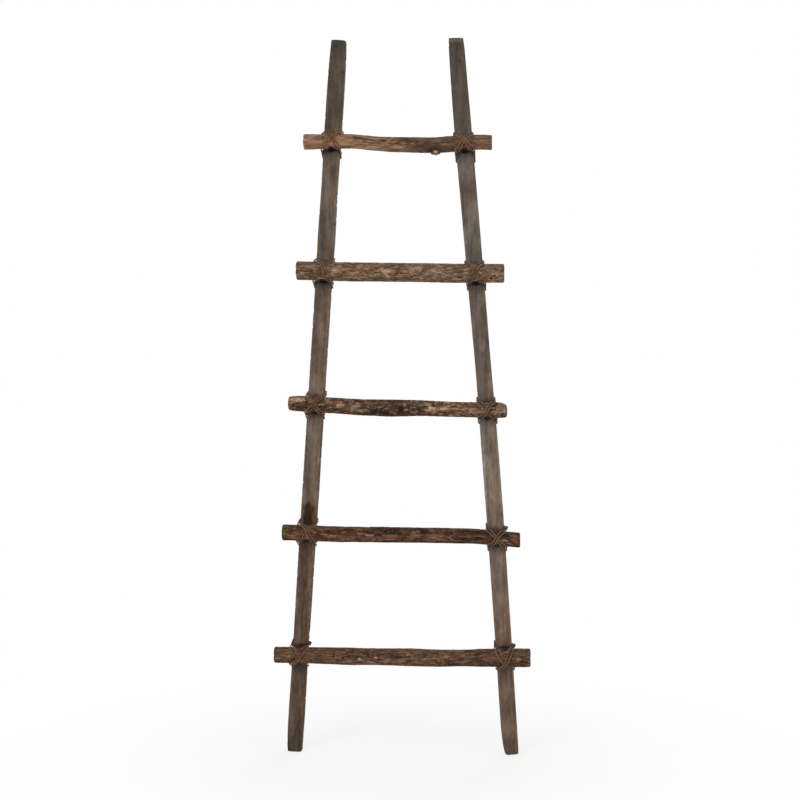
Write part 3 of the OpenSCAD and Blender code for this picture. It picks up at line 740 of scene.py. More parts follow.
# %% Looks of the five logs
# bark, bare wood, crack and rust are paint colours, and rusty is how much rust shows.
# wear is a table along the log. patch and plate are the length and width of a worn
# patch and of a bark plate, run is the length of a streak and depth that of a crack,
# all in mm. lively says how strongly the bark varies, and tones how light the upper
# and the lower half of the log are at a share of its length.
LOG_LOOKS = [
    dict(bark=(106, 82, 64), bare=(130, 101, 79), crack=(72, 53, 40), rust_and_shade=(124, 91, 66),
         rusty=0.7, patch=(34, 8), plate=(22, 4), run=34, depth=0.25, lively=0.95,
         wear=[[0, 0.5], [0.2, 0.5], [0.45, 0.42], [0.58, 0.1], [0.8, 0.04], [0.9, 0.3],
               [1, 0.4]],
         tones=[[0, 1.07, 1.12], [0.15, 1.1, 1.08], [0.35, 1.06, 1.2], [0.5, 0.95, 1.06],
                [0.62, 0.98, 0.95], [0.8, 0.9, 0.8], [1, 1, 1.12]]),
    dict(bark=(103, 81, 63), bare=(133, 108, 86), crack=(66, 48, 36), rust_and_shade=(118, 90, 66),
         rusty=0.5, patch=(13, 4.5), plate=(9, 3.4), run=14, depth=0.45, lively=1.2,
         wear=[[0, 0.26], [0.25, 0.34], [0.5, 0.32], [0.75, 0.3], [1, 0.34]],
         tones=[[0, 1.02, 0.98], [0.3, 0.96, 1], [0.7, 0.98, 1.04], [1, 0.98, 1.1]]),
    dict(bark=(84, 63, 48), bare=(142, 114, 91), crack=(40, 28, 20), rust_and_shade=(112, 77, 53),
         rusty=0.7, patch=(11, 5), plate=(7, 4), run=9, depth=0.6, lively=1.35,
         wear=[[0, 0.4], [0.1, 0.26], [0.3, 0.3], [0.42, 0.04], [0.55, 0.1], [0.66, 0.34],
               [0.9, 0.36], [1, 0.5]],
         tones=[[0, 0.92, 0.88], [0.25, 0.89, 0.86], [0.48, 0.9, 0.87], [0.62, 0.94, 0.99],
                [0.75, 1.02, 0.96], [0.88, 0.88, 0.96], [1, 0.84, 0.86]]),
    dict(bark=(80, 57, 43), bare=(104, 77, 56), crack=(46, 32, 23), rust_and_shade=(98, 63, 46),
         rusty=0.9, patch=(26, 5), plate=(15, 3.6), run=18, depth=0.35, lively=2.2,
         wear=[[0, 0.26], [0.15, 0.2], [0.5, 0.2], [0.7, 0.1], [0.9, 0.16], [1, 0.16]],
         tones=[[0, 0.88, 1.02], [0.14, 1.04, 1.2], [0.3, 0.92, 1.12], [0.47, 0.8, 0.97],
                [0.62, 0.9, 1.14], [0.72, 0.88, 0.98], [0.88, 0.72, 0.94], [1, 0.78, 0.88]]),
    dict(bark=(88, 66, 50), bare=(112, 86, 64), crack=(55, 40, 29), rust_and_shade=(106, 75, 53),
         rusty=0.7, patch=(16, 6), plate=(11, 4), run=16, depth=0.3, lively=1.5,
         wear=[[0, 0.16], [0.25, 0.2], [0.45, 0.2], [0.6, 0.1], [0.75, 0.2], [1, 0.2]],
         tones=[[0, 0.95, 1.05], [0.2, 0.96, 1.08], [0.38, 0.92, 1.2], [0.55, 1.08, 1.14],
                [0.7, 1.1, 0.96], [0.8, 0.84, 0.88], [0.9, 1, 0.86], [1, 1.06, 1.04]]),
]
# Share along the log, height on its front from -1 to 1, half length and half girth
# in mm, colour, strength, and how far the mark stands out of the bark
LOG_MARKS = [
    [(0.015, 0.1, 9, 14, (146, 106, 94), 0.7, 0), (0.2, 0.1, 26, 9, (146, 112, 84), 0.7, -0.3),
     (0.33, 0.3, 24, 5, (62, 46, 34), 0.6, 0.2), (0.43, 0.35, 11, 4, (66, 48, 34), 0.8, 0),
     (0.39, 0.3, 8, 6, (140, 104, 60), 0.7, 0),
     (0.5, -0.45, 17, 3.5, (172, 138, 104), 0.8, -0.4),
     (0.56, 0.35, 30, 6, (64, 47, 36), 0.6, 0.3), (0.64, -0.1, 22, 7, (74, 54, 42), 0.6, 0.2),
     (0.77, 0.2, 16, 6, (60, 44, 34), 0.6, 0.3), (0.95, 0.0, 16, 12, (120, 86, 68), 0.6, 0)],
    [(0.03, 0.1, 10, 13, (126, 100, 78), 0.5, 0), (0.05, -0.1, 22, 2, (52, 37, 28), 0.8, -0.6),
     (0.2, 0.1, 20, 7, (150, 124, 104), 0.6, -0.3), (0.3, 0.45, 26, 4, (138, 112, 92), 0.5, 0),
     (0.44, 0.0, 15, 6, (168, 136, 112), 0.8, -0.4),
     (0.495, -0.35, 15, 3.5, (56, 40, 30), 0.8, -0.5),
     (0.5, -0.33, 8, 1.8, (150, 122, 98), 0.8, 0.2),
     (0.57, 0.35, 15, 5, (160, 130, 108), 0.7, 0),
     (0.66, 0.1, 18, 6, (150, 122, 102), 0.6, -0.3), (0.79, -0.45, 12, 4, (64, 46, 36), 0.6, 0),
     (0.93, 0.5, 18, 6, (134, 108, 88), 0.5, 0),
     (0.955, -0.35, 3.2, 2.6, (44, 30, 22), 0.9, -1.2),
     (0.975, -0.45, 2.6, 2.2, (44, 30, 22), 0.9, -1.0),
     (0.935, -0.6, 2.6, 2, (44, 30, 22), 0.9, -1.0)],
    [(0.04, 0.55, 22, 7, (172, 140, 116), 1.0, -0.4),
     (0.05, -0.4, 24, 9, (58, 40, 29), 0.95, 0.3),
     (0.05, -0.2, 9, 1.4, (124, 94, 70), 0.8, -0.2),
     (0.03, -0.5, 7, 1.2, (112, 84, 62), 0.8, -0.2),
     (0.19, 0.4, 12, 5, (148, 112, 84), 0.7, -0.3), (0.31, 0.15, 13, 7, (116, 98, 84), 0.7, 0),
     (0.335, -0.45, 15, 3.5, (152, 132, 116), 0.8, -0.3),
     (0.42, -0.5, 24, 8, (38, 27, 20), 0.8, 0.5), (0.47, 0.3, 16, 6, (66, 50, 40), 0.6, 0.3),
     (0.485, -0.35, 12, 5, (82, 62, 42), 0.9, -0.5), (0.52, -0.2, 7, 9, (32, 22, 16), 0.9, 0.3),
     (0.6, 0.5, 20, 5, (124, 104, 90), 0.6, 0),
     (0.655, 0.05, 10, 5, (190, 164, 140), 1.0, -0.4),
     (0.63, 0.25, 4, 1.8, (38, 26, 18), 0.9, -0.4),
     (0.68, 0.25, 4, 1.8, (38, 26, 18), 0.9, -0.4), (0.24, 0.1, 12, 6, (154, 120, 86), 0.6, 0),
     (0.71, 0.0, 14, 4.5, (168, 134, 102), 0.8, -0.3),
     (0.68, 0.5, 8, 2.2, (40, 27, 19), 0.9, -0.7),
     (0.765, 0.35, 10, 2.4, (48, 32, 22), 0.8, -0.6),
     (0.8, 0.1, 30, 5, (150, 116, 88), 0.6, -0.2),
     (0.85, -0.3, 22, 5, (156, 120, 92), 0.7, -0.3),
     (0.64, -0.75, 22, 3.5, (96, 56, 38), 0.7, 0),
     (0.965, 0.1, 10, 9, (160, 122, 96), 0.7, -0.2),
     (0.99, 0.0, 4, 14, (178, 148, 128), 0.6, 0), (0.955, -0.5, 9, 3, (86, 58, 42), 0.8, 0)],
    [(0.01, 0.1, 10, 14, (84, 74, 48), 0.6, 0), (0.065, 0.1, 9, 3, (132, 94, 58), 0.8, -0.2),
     (0.045, 0.55, 12, 3, (52, 34, 24), 0.7, 0), (0.06, -0.5, 24, 4, (102, 70, 52), 0.5, 0),
     (0.16, 0.2, 16, 5, (76, 42, 32), 0.7, 0.2), (0.21, 0.35, 18, 2.4, (62, 36, 27), 0.7, -0.3),
     (0.22, -0.3, 24, 3, (120, 86, 64), 0.6, 0), (0.28, 0.1, 20, 3, (96, 52, 40), 0.7, 0),
     (0.285, 0.62, 12, 3, (50, 34, 25), 0.7, 0),
     (0.372, 0.02, 12, 1.7, (196, 154, 122), 0.85, -0.3),
     (0.335, -0.25, 10, 2.4, (84, 46, 36), 0.7, 0),
     (0.46, -0.2, 18, 5, (128, 84, 68), 0.8, 0.2),
     (0.455, -0.02, 15, 1.5, (160, 124, 100), 0.8, 0),
     (0.46, -0.5, 18, 1.8, (150, 116, 92), 0.7, 0),
     (0.455, 0.62, 17, 4.5, (30, 20, 14), 0.95, -0.5), (0.56, 0.1, 9, 4, (136, 98, 62), 0.7, 0),
     (0.595, 0.55, 18, 4, (30, 20, 14), 0.95, -0.6),
     (0.53, -0.35, 16, 3, (104, 72, 52), 0.6, 0), (0.645, 0.1, 10, 5, (104, 84, 52), 0.6, 0),
     (0.64, -0.5, 20, 4, (110, 84, 64), 0.6, 0), (0.75, -0.35, 22, 4, (44, 30, 24), 0.8, 0.2),
     (0.83, -0.3, 12, 3, (46, 32, 24), 0.7, 0), (0.79, 0.3, 22, 2.4, (96, 66, 44), 0.6, 0),
     (0.82, 0.65, 16, 4, (40, 27, 18), 0.7, 0),
     (0.935, -0.1, 9, 2.6, (164, 132, 112), 0.8, 0.2),
     (0.955, -0.5, 8, 2.2, (150, 116, 98), 0.7, 0.2), (0.95, 0.35, 10, 3, (60, 34, 28), 0.8, 0),
     (0.985, -0.1, 5, 9, (120, 66, 60), 0.7, 0)],
    [(0.02, 0.3, 10, 9, (78, 68, 48), 0.6, 0), (0.055, 0.0, 11, 2.4, (146, 100, 62), 0.8, -0.2),
     (0.075, -0.3, 14, 2.4, (56, 38, 28), 0.7, -0.3),
     (0.15, 0.05, 11, 7, (122, 92, 76), 0.7, 0.2), (0.185, 0.5, 14, 4, (100, 86, 56), 0.6, 0),
     (0.25, -0.05, 12, 5, (132, 92, 64), 0.7, -0.2),
     (0.235, 0.1, 3, 2, (50, 34, 24), 0.9, -0.4), (0.27, 0.0, 3, 2.4, (50, 34, 24), 0.9, -0.4),
     (0.25, -0.25, 4, 1.8, (54, 36, 26), 0.8, -0.3),
     (0.295, 0.05, 7, 3, (56, 38, 28), 0.8, -0.3),
     (0.337, -0.15, 4, 2.6, (196, 164, 124), 1.0, 0.3),
     (0.335, 0.15, 8, 2.6, (52, 38, 26), 0.8, -0.3), (0.36, 0.45, 10, 3, (54, 44, 30), 0.7, 0),
     (0.4, 0.05, 4, 2.8, (186, 156, 120), 1.0, 0.3),
     (0.385, -0.2, 7, 2.4, (60, 42, 32), 0.7, -0.2), (0.41, 0.35, 8, 2.6, (54, 42, 28), 0.7, 0),
     (0.4, -0.7, 10, 3, (146, 116, 100), 0.7, 0), (0.47, -0.3, 16, 5, (110, 84, 72), 0.6, 0),
     (0.485, 0.15, 16, 3.5, (58, 42, 30), 0.8, 0), (0.55, 0.55, 16, 5, (84, 70, 46), 0.7, 0),
     (0.6, -0.1, 18, 7, (106, 82, 66), 0.6, 0), (0.69, -0.6, 14, 3, (58, 36, 26), 0.85, -0.2),
     (0.7, 0.05, 12, 4, (122, 76, 54), 0.7, 0), (0.76, 0.3, 18, 2.6, (124, 100, 64), 0.6, 0),
     (0.775, 0.12, 14, 2, (52, 36, 25), 0.8, -0.2), (0.84, 0.1, 14, 8, (112, 74, 58), 0.6, 0.3),
     (0.965, 0.55, 14, 5, (98, 84, 54), 0.7, 0),
     (0.955, -0.05, 8, 2.4, (142, 108, 76), 0.65, -0.2),
     (0.97, -0.25, 9, 3, (58, 34, 26), 0.8, -0.2), (0.96, -0.6, 14, 5, (102, 62, 46), 0.6, 0)],
]
print("marks on the logs:", [len(marks) for marks in LOG_MARKS])

# %% Bark
# Sizes in mm, along and about the log, of what varies in every log's bark
LUMP, RUST, SCAB, CRACKED = (40, 16, 16), (34, 12, 12), (10, 3.5, 3.5), (18, 7, 7)
DRIFT = (9, 5, 5)
# The painted shade on a log sits this far round from its front, in the hollow of its lashing
HOLLOW_SHADE_TURN = math.radians(76)  # from the log's front to the hollow of its lashing


def turn_between(a, b):
    return (a - b + math.pi) % (2 * math.pi) - math.pi


def bark_at(i, x, turn):
    """Lift of the bark in mm and its colour, at a place along log i and a turn about it."""
    look, r, seed = LOG_LOOKS[i], RUNG_D[i] / 2, 7.3 * (i + 1)
    share, lively = rung_share(i, x), look["lively"]
    p = Vector((x, r * math.cos(turn), r * math.sin(turn)))
    lump = swell(p, LUMP, seed)
    fleck = swell(p, (look["run"] / 4 + 1.5, 3.2, 3.2), seed + 1)
    streak = swell(p, (look["run"], 2.6, 2.6), seed + 2)
    q = p + Vector((4 * fleck, 1.5 * swell(p, DRIFT, seed + 3), 1.5 * swell(p, DRIFT, seed + 4)))

    long, wide = look["plate"]
    cell = Vector((q.x / long, q.y / wide, q.z / wide)) + Vector((seed,) * 3)
    near, spots = noise.voronoi(cell)
    crack = (soft_step(swell(p, CRACKED, seed + 9), -0.25, 0.2)
             * (1 - soft_step(near[1] - near[0], 0.02, 0.22)))
    own = noise.noise(spots[0] * 3.7)

    long, wide = look["patch"]
    patchy = (swell(q, (long, wide, wide), seed + 5)
              + 0.5 * swell(q, (long / 3, wide / 2.2, wide / 2.2), seed + 6))
    wear = read_table(look["wear"], 1, share)
    bare = soft_step(patchy, 0.36 - wear, 0.58 - wear)
    lift = (0.5 * lump + (1 - bare) * (0.3 * own + 0.25 * fleck - look["depth"] * crack)
            + bare * (0.2 * streak - 0.4))

    rust_and_shade = soft_step(swell(p, RUST, seed + 7), -0.05, 0.4) * look["rusty"]
    bark = shade(mix(look["bark"], look["rust_and_shade"], rust_and_shade),
                 1 + lively * (0.28 * own + 0.2 * fleck + 0.25 * streak))
    scab = soft_step(swell(p, SCAB, seed + 8), 0.2, 0.45)
    bark = mix(bark, look["crack"], max(0.8 * crack, 0.55 * scab))
    bare_wood = shade(look["bare"], 1 + lively * (0.3 * streak + 0.2 * fleck))
    upper = soft_step(math.sin(turn) + 0.3 * fleck, -0.4, 0.4)
    tone = (read_table(look["tones"], 2, share) * (1 - upper)
            + read_table(look["tones"], 1, share) * upper)
    colour = shade(mix(bark, bare_wood, bare), tone)

    for at, height, length, girth, paint, strength, stand in LOG_MARKS[i]:
        dx = (x - rung_place(i, at)) / length
        ds = turn_between(turn, math.pi - math.asin(height)) * r / girth
        if abs(dx) < 1.7 and abs(ds) < 1.7:
            away = math.hypot(dx, ds) + 0.8 * fleck + 0.5 * streak
            cover = 1 - soft_step(away, 0.62, 1.02)
            paint = shade(paint, 1 + 0.4 * streak + 0.2 * fleck)
            colour = mix(colour, paint, cover * strength)
            lift += stand * cover
    # Painted shade on the log in the hollow between the strands of each lashing
    for side, (way, dark) in enumerate(HOLLOW_SHADES[i]):
        dx = x - rail_line(side, RUNG_Z[i])
        if abs(dx) < 10:
            ds = turn_between(turn, math.pi - way * HOLLOW_SHADE_TURN) * r
            colour = mix(colour, HOLLOW_SHADE_COLOUR, dark * spot(dx, 8, ds, 7, 0.6, 1.1))
    return lift, colour


def lash_calm(i, x):
    """1 away from the lashings, less under them, where the cord has pressed the bark flat."""
    away = min(abs(x - rail_line(side, RUNG_Z[i])) for side in (LEFT, RIGHT))
    return 0.35 + 0.65 * soft_step(away, RAIL_W / 2 + 6, RAIL_W / 2 + 13)


lift, colour = bark_at(2, 0, math.pi)
print("bark at the middle of log 3:", round(lift, 2), "mm,", rounded(colour, 0))

# %% Logs
LOG_SIDES, RING_STEP = 104, 1.1
LOG_END_RINGS, LOG_END_STEP = 7, 0.125
SPLIT_DEEP, SAW_DEEP = 1.6, 0.4
SEAT_SUNK = 0.2  # how far the seat may sink into the rail's rough face
COLLAR_UP, COLLAR_LONG, COLLAR_COLOUR = 3.4, 1.8, (48, 33, 24)


def twig_place():
    return rung_place(0, TWIG_SHARE), math.radians(180 + TWIG_TURN)


def twig_collar(x, turn, lift, colour):
    """Bark swells and darkens where the twig grew out of the top log."""
    twig_x, twig_turn = twig_place()
    away = math.hypot((x - twig_x + 3) / COLLAR_LONG,
                      turn_between(turn, twig_turn) * RUNG_D[0] / 2)
    swollen = 1 - soft_step(away, TWIG_D / 2 - 2, TWIG_D / 2 + 7)
    lumpy = 1 + 1.2 * swell((x, 9 * math.cos(turn), 9 * math.sin(turn)), (6, 5, 5), 4.4)
    return lift + COLLAR_UP * swollen * lumpy, mix(colour, COLLAR_COLOUR, 0.92 * swollen)


def carve_log(i):
    start, length = rung_start(i), rung_end(i) - rung_start(i)
    look = LOG_LOOKS[i]
    bm = wood_blank(LOG_SIDES, round(length / RING_STEP), LOG_END_RINGS, LOG_END_STEP)
    colour_and_shade, heart = wood_layers(bm)
    splits = [(0.9 + 2.1 * i, 2.2), (2.7 + 1.3 * i, 1.4), (4.6 + 0.7 * i, 1.8)]
    for v in bm.verts:
        x = round(start + (v.co.z + 0.5) * length, 3)
        out, turn = math.hypot(v.co.x, v.co.y), math.atan2(v.co.y, v.co.x)
        full = rung_r(i, x)
        ease = END_ROUND[i][x > start + length / 2]
        to_end = max(min(x - start, start + length - x, ease), 0)
        worn = ease - math.sqrt(ease ** 2 - (ease - to_end) ** 2)
        lift, colour = bark_at(i, x, turn)
        lift *= lash_calm(i, x)
        if i == 0:
            lift, colour = twig_collar(x, turn, lift, colour)
        r = (full - worn + lift) * out
        if abs(v.co.z) > 0.49999:
            split = max(math.exp(-((turn_between(turn, a) * out * full / wide) ** 2))
                        for a, wide in splits)
            split *= soft_step(out, 0.1, 0.5)
            rough = swell((0, r * math.cos(turn), r * math.sin(turn)), (1, 5, 5), i + 3.3)
            deep = SAW_DEEP * rough + SPLIT_DEEP * split
            x += max(deep, 0) * (1 if v.co.z < 0 else -1)
            if out < 0.99:
                wood = mix(look["bare"], look["rust_and_shade"], 0.35 + 0.3 * soft_step(out, 0.5, 0.95))
                colour = mix(wood, look["crack"], 0.9 * split)
        y = rung_axis_y(full) + r * math.cos(turn)
        z = rung_axis_z(i, round(min(max(x, start), start + length), 3)) + r * math.sin(turn)
        for side in (LEFT, RIGHT):
            if abs(x - rail_line(side, RUNG_Z[i])) < RAIL_W / 2 + SEAT_MARGIN:
                y = min(y, RAIL_FRONT + SEAT_SUNK)
        v.co = (x, y, z)
        v[colour_and_shade] = linear(colour)
        v[heart] = out * full
    return bm


for i in range(5):
    tell(finish_piece(carve_log(i), f"bark_log_{i + 1}", [bark_finish, end_grain],
                      [f"rung_{i + 1}"]))

# %% [markdown]
# A twig was cut off the top log, and its stub still stands out of the bark, lower
# front, near the right rail. It is the same round blank again, flared at its foot
# and pale at its cut end.

# %% Twig stub
TWIG_SIDES, TWIG_RINGS, TWIG_END_RINGS, TWIG_END_STEP = 40, 14, 4, 0.2
TWIG_SUNK = 3
TWIG_BARK, TWIG_WOOD, TWIG_RIM = (66, 47, 35), (186, 156, 124), (96, 68, 46)


def carve_twig():
    x, turn = twig_place()
    r = rung_r(0, x)
    out_way, side_way = Vector((0, math.cos(turn), math.sin(turn))), Vector((1, 0, 0))
    up_way = out_way.cross(side_way)
    foot = Vector((x, rung_axis_y(r), rung_axis_z(0, x)))
    bm = wood_blank(TWIG_SIDES, TWIG_RINGS, TWIG_END_RINGS, TWIG_END_STEP)
    colour_and_shade, heart = wood_layers(bm)
    for v in bm.verts:
        along, out = v.co.z + 0.5, math.hypot(v.co.x, v.co.y)
        a = math.atan2(v.co.y, v.co.x)
        at_tip = along > 0.999
        rough = swell((along * 8, 5 * math.cos(a), 5 * math.sin(a)), (4, 3, 3), 2.2)
        flare = 1.25 + 0.8 * (1 - along) ** 2 + 0.25 * math.cos(2 * a)
        wide = TWIG_D / 2 * flare * (1 + 0.3 * rough) * out
        tip = 4.5 + TWIG_OUT - 0.35 * math.sin(a) * wide
        tall = r - TWIG_SUNK + along * tip + (0.5 * rough if at_tip else 0)
        v.co = foot + out_way * tall + (side_way * math.cos(a) + up_way * math.sin(a)) * wide
        colour = shade(TWIG_BARK, 1 + 0.9 * rough)
        if at_tip and out < 0.7:
            colour = mix(TWIG_WOOD, TWIG_RIM, soft_step(out + 0.4 * rough, 0.3, 0.66))
        v[colour_and_shade] = linear(colour)
        v[heart] = 1.2 * wide
    return bm


tell(finish_piece(carve_twig(), "twig_stub", [bark_finish, end_grain]))

# %% [markdown]
# ## The lashings
# Each crossing is tied with one length of thin brown twine. Two strands run one way
# over the log, one pass goes level round the back of the rail, and two strands cross
# over the first two. On some crossings the end is knotted at the upper right.
# The route follows the drawing's rules. It is smoothed, drawn snug to the real log,
# and a round blank is threaded along it. The blank's section has three lobes that
# turn as it goes, which is how three plies of twine look.

# %% Route of a lashing
# The drawing's cord and its gaps, and from them how its strands lie. A near strand
# hugs the rail's front corner, a far one runs out to its back corner, and a strand
# that rides over another one climbs by a pitch.
CORD_D, CORD_GAP, STRAND_GAP = 2.8, 0.3, 0.8
CORD_OFF = CORD_D / 2 + CORD_GAP
STRAND_PITCH = CORD_D + STRAND_GAP
RUNG_STEP = 1.45 * STRAND_PITCH
NEAR_TURN, NEAR_SHARE, NEAR_RISE = math.radians(22), 0.72, 1.6 * CORD_D
NEAR_FRONT_SHARE = 0.12
FAR_OUT, FAR_RISE = 1.45 * CORD_D, 3.6 * CORD_D
RIDE_REACH, RIDE_CLIMB, RIDE_TURN = 6 * CORD_D, 2.5 * CORD_D, 60
FRONT_RINGS, CORNER_RINGS = 9, 3
END_RISE = 1.4 * CORD_D
KNOT_OUT, KNOT_AHEAD = 0.9 * CORD_D, 2.05 * CORD_D
KNOT_R, KNOT_TURNS, KNOT_RINGS, KNOT_LEAN, KNOT_LENGTH = 3.3, 2.3, 29, 30, 58
KNOT_CORE, KNOT_TOP, KNOT_WRAP = (-4.6, -2.3, 0, 2.3, 4.2), 3.2, 6.2
# Share of the way up the front at which the strands cross, how much further up or
# down the rail they spread, which way it is wound, and how high its knot sits, if any
LASH_LAYS = [
    [(0.66, -2, 1, None), (0.56, -4, -1, None)], [(0.66, 0, -1, None), (0.57, 0, 1, None)],
    [(0.5, 0, 1, None), (0.5, 0, 1, None)], [(0.66, 0, -1, None), (0.5, 0, 1, 0.5)],
    [(0.42, 2, 1, 4.2), (0.33, 0, 1, 1.6)],
]


class Crossing:
    """Sizes that a lashing works from, at the place where a log crosses a rail."""

    def __init__(self, i, side):
        self.log = i
        self.side = side
        self.z = rung_axis_z(i, rail_line(side, RUNG_Z[i]))
        self.x = rail_line(side, self.z)
        self.half = max(rail_half(side, edge, self.z + up)
                        for up in (-RAIL_W, 0, RAIL_W) for edge in (LEFT, RIGHT))
        wide = self.half + CORD_OFF + FAR_OUT
        self.r = CORD_OFF + max(
            rung_r(i, self.x + d) + abs(rung_axis_z(i, self.x + d) - self.z)
            for d in (-wide, 0, wide))
        self.axis_y = rung_axis_y(rung_r(i, self.x))
        self.lean = (rail_line(side, self.z + RAIL_W)
                     - rail_line(side, self.z - RAIL_W)) / (2 * RAIL_W)


def back_corner(c, sx, ride):
    """Places round a back corner of the rail, from its side to its back."""
    reach = (EDGE_R + CORD_OFF) / math.cos(math.radians(45 / CORNER_RINGS))
    places = []
    for k in range(CORNER_RINGS):
        a = 90 * (k + 0.5) / CORNER_RINGS
        q = reach + ride * min(1, a / RIDE_TURN)
        places.append((sx * (c.half - EDGE_R + q * math.cos(math.radians(a))),
                       RAIL_FRONT + RAIL_T - EDGE_R + q * math.sin(math.radians(a))))
    return places


def round_back(c, start, end, ride):
    """One pass round the back of the rail, from its right edge to its left edge."""
    turn_l, back_l = math.pi / 2 * (EDGE_R + CORD_OFF), 2 * (c.half - EDGE_R)
    places = back_corner(c, 1, ride) + back_corner(c, -1, ride)[::-1]
    points = []
    for k, (x, y) in enumerate(places):
        run = turn_l * (k + 0.5) / CORNER_RINGS + (back_l if k >= CORNER_RINGS else 0)
        points.append((x, y, start + (end - start) * run / (2 * turn_l + back_l)))
    return points


def leaving(r, out, up):
    """Angle from the log's underside at which a strand leaves it for a point behind."""
    return math.acos(r / math.hypot(out, up)) - math.atan2(out, up)


def over_rung(c, far_below, middle, far_low, far_high, ride):
    """One strand over the front of the log, upwards from the left edge of the rail.

    It is the far one below and the near one above, or else the other way round."""
    corner_r, corner_x, corner_y = EDGE_R + CORD_OFF, c.half - EDGE_R, RAIL_FRONT + EDGE_R
    side_x = corner_x + corner_r
    edge_x = corner_x + corner_r * math.cos(NEAR_TURN)
    edge_y = corner_y - corner_r * math.sin(NEAR_TURN)
    back = back_corner(c, 1, 0)[0][1] - c.axis_y
    a_near = leaving(c.r, edge_y - c.axis_y, c.r)
    a_low = leaving(c.r, back, far_low) if far_below else a_near
    a_high = a_near if far_below else leaving(c.r, back, far_high)
    step = (math.pi - a_low - a_high) / FRONT_RINGS
    near_x, far_x = NEAR_SHARE * edge_x, side_x + FAR_OUT
    across = [[a_low + step / 2, -far_x if far_below else -near_x],
              [math.pi * middle, -RUNG_STEP / 2 if far_below else RUNG_STEP / 2],
              [math.pi - a_high - step / 2, near_x if far_below else far_x]]
    points = []
    for k in range(FRONT_RINGS):
        a = a_low + step * (k + 0.5)
        near = abs(a - math.pi * middle) * c.r
        up = ride * min(max((RIDE_REACH - near) / RIDE_CLIMB, 0), 1)
        q = c.r / math.cos(step / 2) + up
        points.append((read_table(across, 1, a), c.axis_y - q * math.sin(a), -q * math.cos(a)))
    turn_z = c.r + NEAR_FRONT_SHARE * NEAR_RISE
    if far_below:
        return points + [(edge_x, edge_y, c.r), (side_x, corner_y, turn_z)]
    return [(-side_x, corner_y, -turn_z), (-edge_x, edge_y, -c.r)] + points


def mirrored(points):
    return [(-x, y, z) for x, y, z in reversed(points)]


def knot_route(c, knot_up):
    """Barrel knot beside the rail's edge, in the place of the drawing's curl."""
    centre = Vector((c.half + KNOT_OUT, RAIL_FRONT - KNOT_AHEAD + STRAND_PITCH / 2,
                     c.r + knot_up))
    lean = math.radians(KNOT_LEAN)
    along = Vector((math.sin(lean), 0, math.cos(lean)))
    aside, back = Vector((math.cos(lean), 0, -math.sin(lean))), Vector((0, 1, 0))
    points = [centre + along * h for h in KNOT_CORE]
    for k in range(KNOT_RINGS):
        share = k / (KNOT_RINGS - 1)
        a = 2 * math.pi * KNOT_TURNS * share
        wrap = (aside * math.cos(a) + back * math.sin(a)) * KNOT_R
        points.append(centre + along * (KNOT_TOP - KNOT_WRAP * share) + wrap)
    return points + [points[-1] + aside * 2.5 - along * 1.5]


def lash_route(c):
    """The whole lashing, from its hidden start behind the rail to its end or knot."""
    middle, spread_z, hand, knot_up = LASH_LAYS[c.log][c.side]
    up, down = max(0, spread_z), max(0, -spread_z)
    near_high, near_low = c.r + NEAR_RISE + up / 2, c.r + NEAR_RISE + down / 2
    far_high, far_low = c.r + FAR_RISE + up, c.r + FAR_RISE + down
    hidden = END_RISE - c.r

    def strand(far_below, ride):
        return over_rung(c, far_below, middle, far_low, far_high, ride)

    points = round_back(c, hidden, far_high, 0)[-CORNER_RINGS - 1:]
    points += mirrored(strand(False, 0))
    points += round_back(c, -near_low, near_high, 0)
    points += mirrored(strand(True, 0))
    points += round_back(c, -far_low, -far_low, 0)
    points += strand(True, STRAND_PITCH)
    points += round_back(c, near_high, -near_low, STRAND_PITCH)
    points += strand(False, STRAND_PITCH)
    if knot_up is not None:
        points += knot_route(c, knot_up)
    else:
        points += round_back(c, far_high, hidden, STRAND_PITCH)[: CORNER_RINGS + 1]
    return [Vector((c.x + hand * x + c.lean * z, y, c.z + z)) for x, y, z in points]


print("lashings to lay:", sum(len(lays) for lays in LASH_LAYS))

# %% Twine
TWINE_R, PLY_LAY, PLIES = 1.55, 10.5, 3
TWINE_STEP, TWINE_SIDES, CUTS = 0.9, 18, 3
PRESSED = 0.1  # how deep the twine presses into the wood
LOG_BOW, SIDE_BOW = 0.22, 0.1  # share of a strand's bow that stays on the log, and beside the rail
LET_GO = (STRAND_PITCH + 1, STRAND_PITCH + 12)  # a strand this far out no longer follows the log
UNTIED, KNOT_SHADE_FADE = 16, 8  # lengths over which snug twine turns into its knot, and over which its painted shade fades in
# How deep the grooves between the plies are, as a share, then how dark their painted shade is, and
# how dark the painted shade on a knotted end is
GROOVE, GROOVE_SHADE, KNOT_SHADE = 0.26, 0.34, 0.28
PLUMP_RUN, TONE_RUN, DIRT_RUN, FIBRE_RUN = 14, 9, 40, 9  # lengths in mm of what varies along it
TWINE_COLOUR, TWINE_DARK, TWINE_PALE = (121, 88, 60), (94, 67, 46), (138, 104, 72)


def smoothed(points, rounds):
    """Corners cut off a path again and again, with its two ends kept."""
    for _ in range(rounds):
        cut = [points[0]]
        for a, b in zip(points, points[1:]):
            cut += [a.lerp(b, 0.25), a.lerp(b, 0.75)]
        points = cut + [points[-1]]
    return points


def evenly(points, step):
    """Points a step apart along a path."""
    even, left = [points[0]], step
    for a, b in zip(points, points[1:]):
        length = (b - a).length
        at = left
        while at < length:
            even.append(a.lerp(b, at / length))
            at += step
        left = at - length
    return even


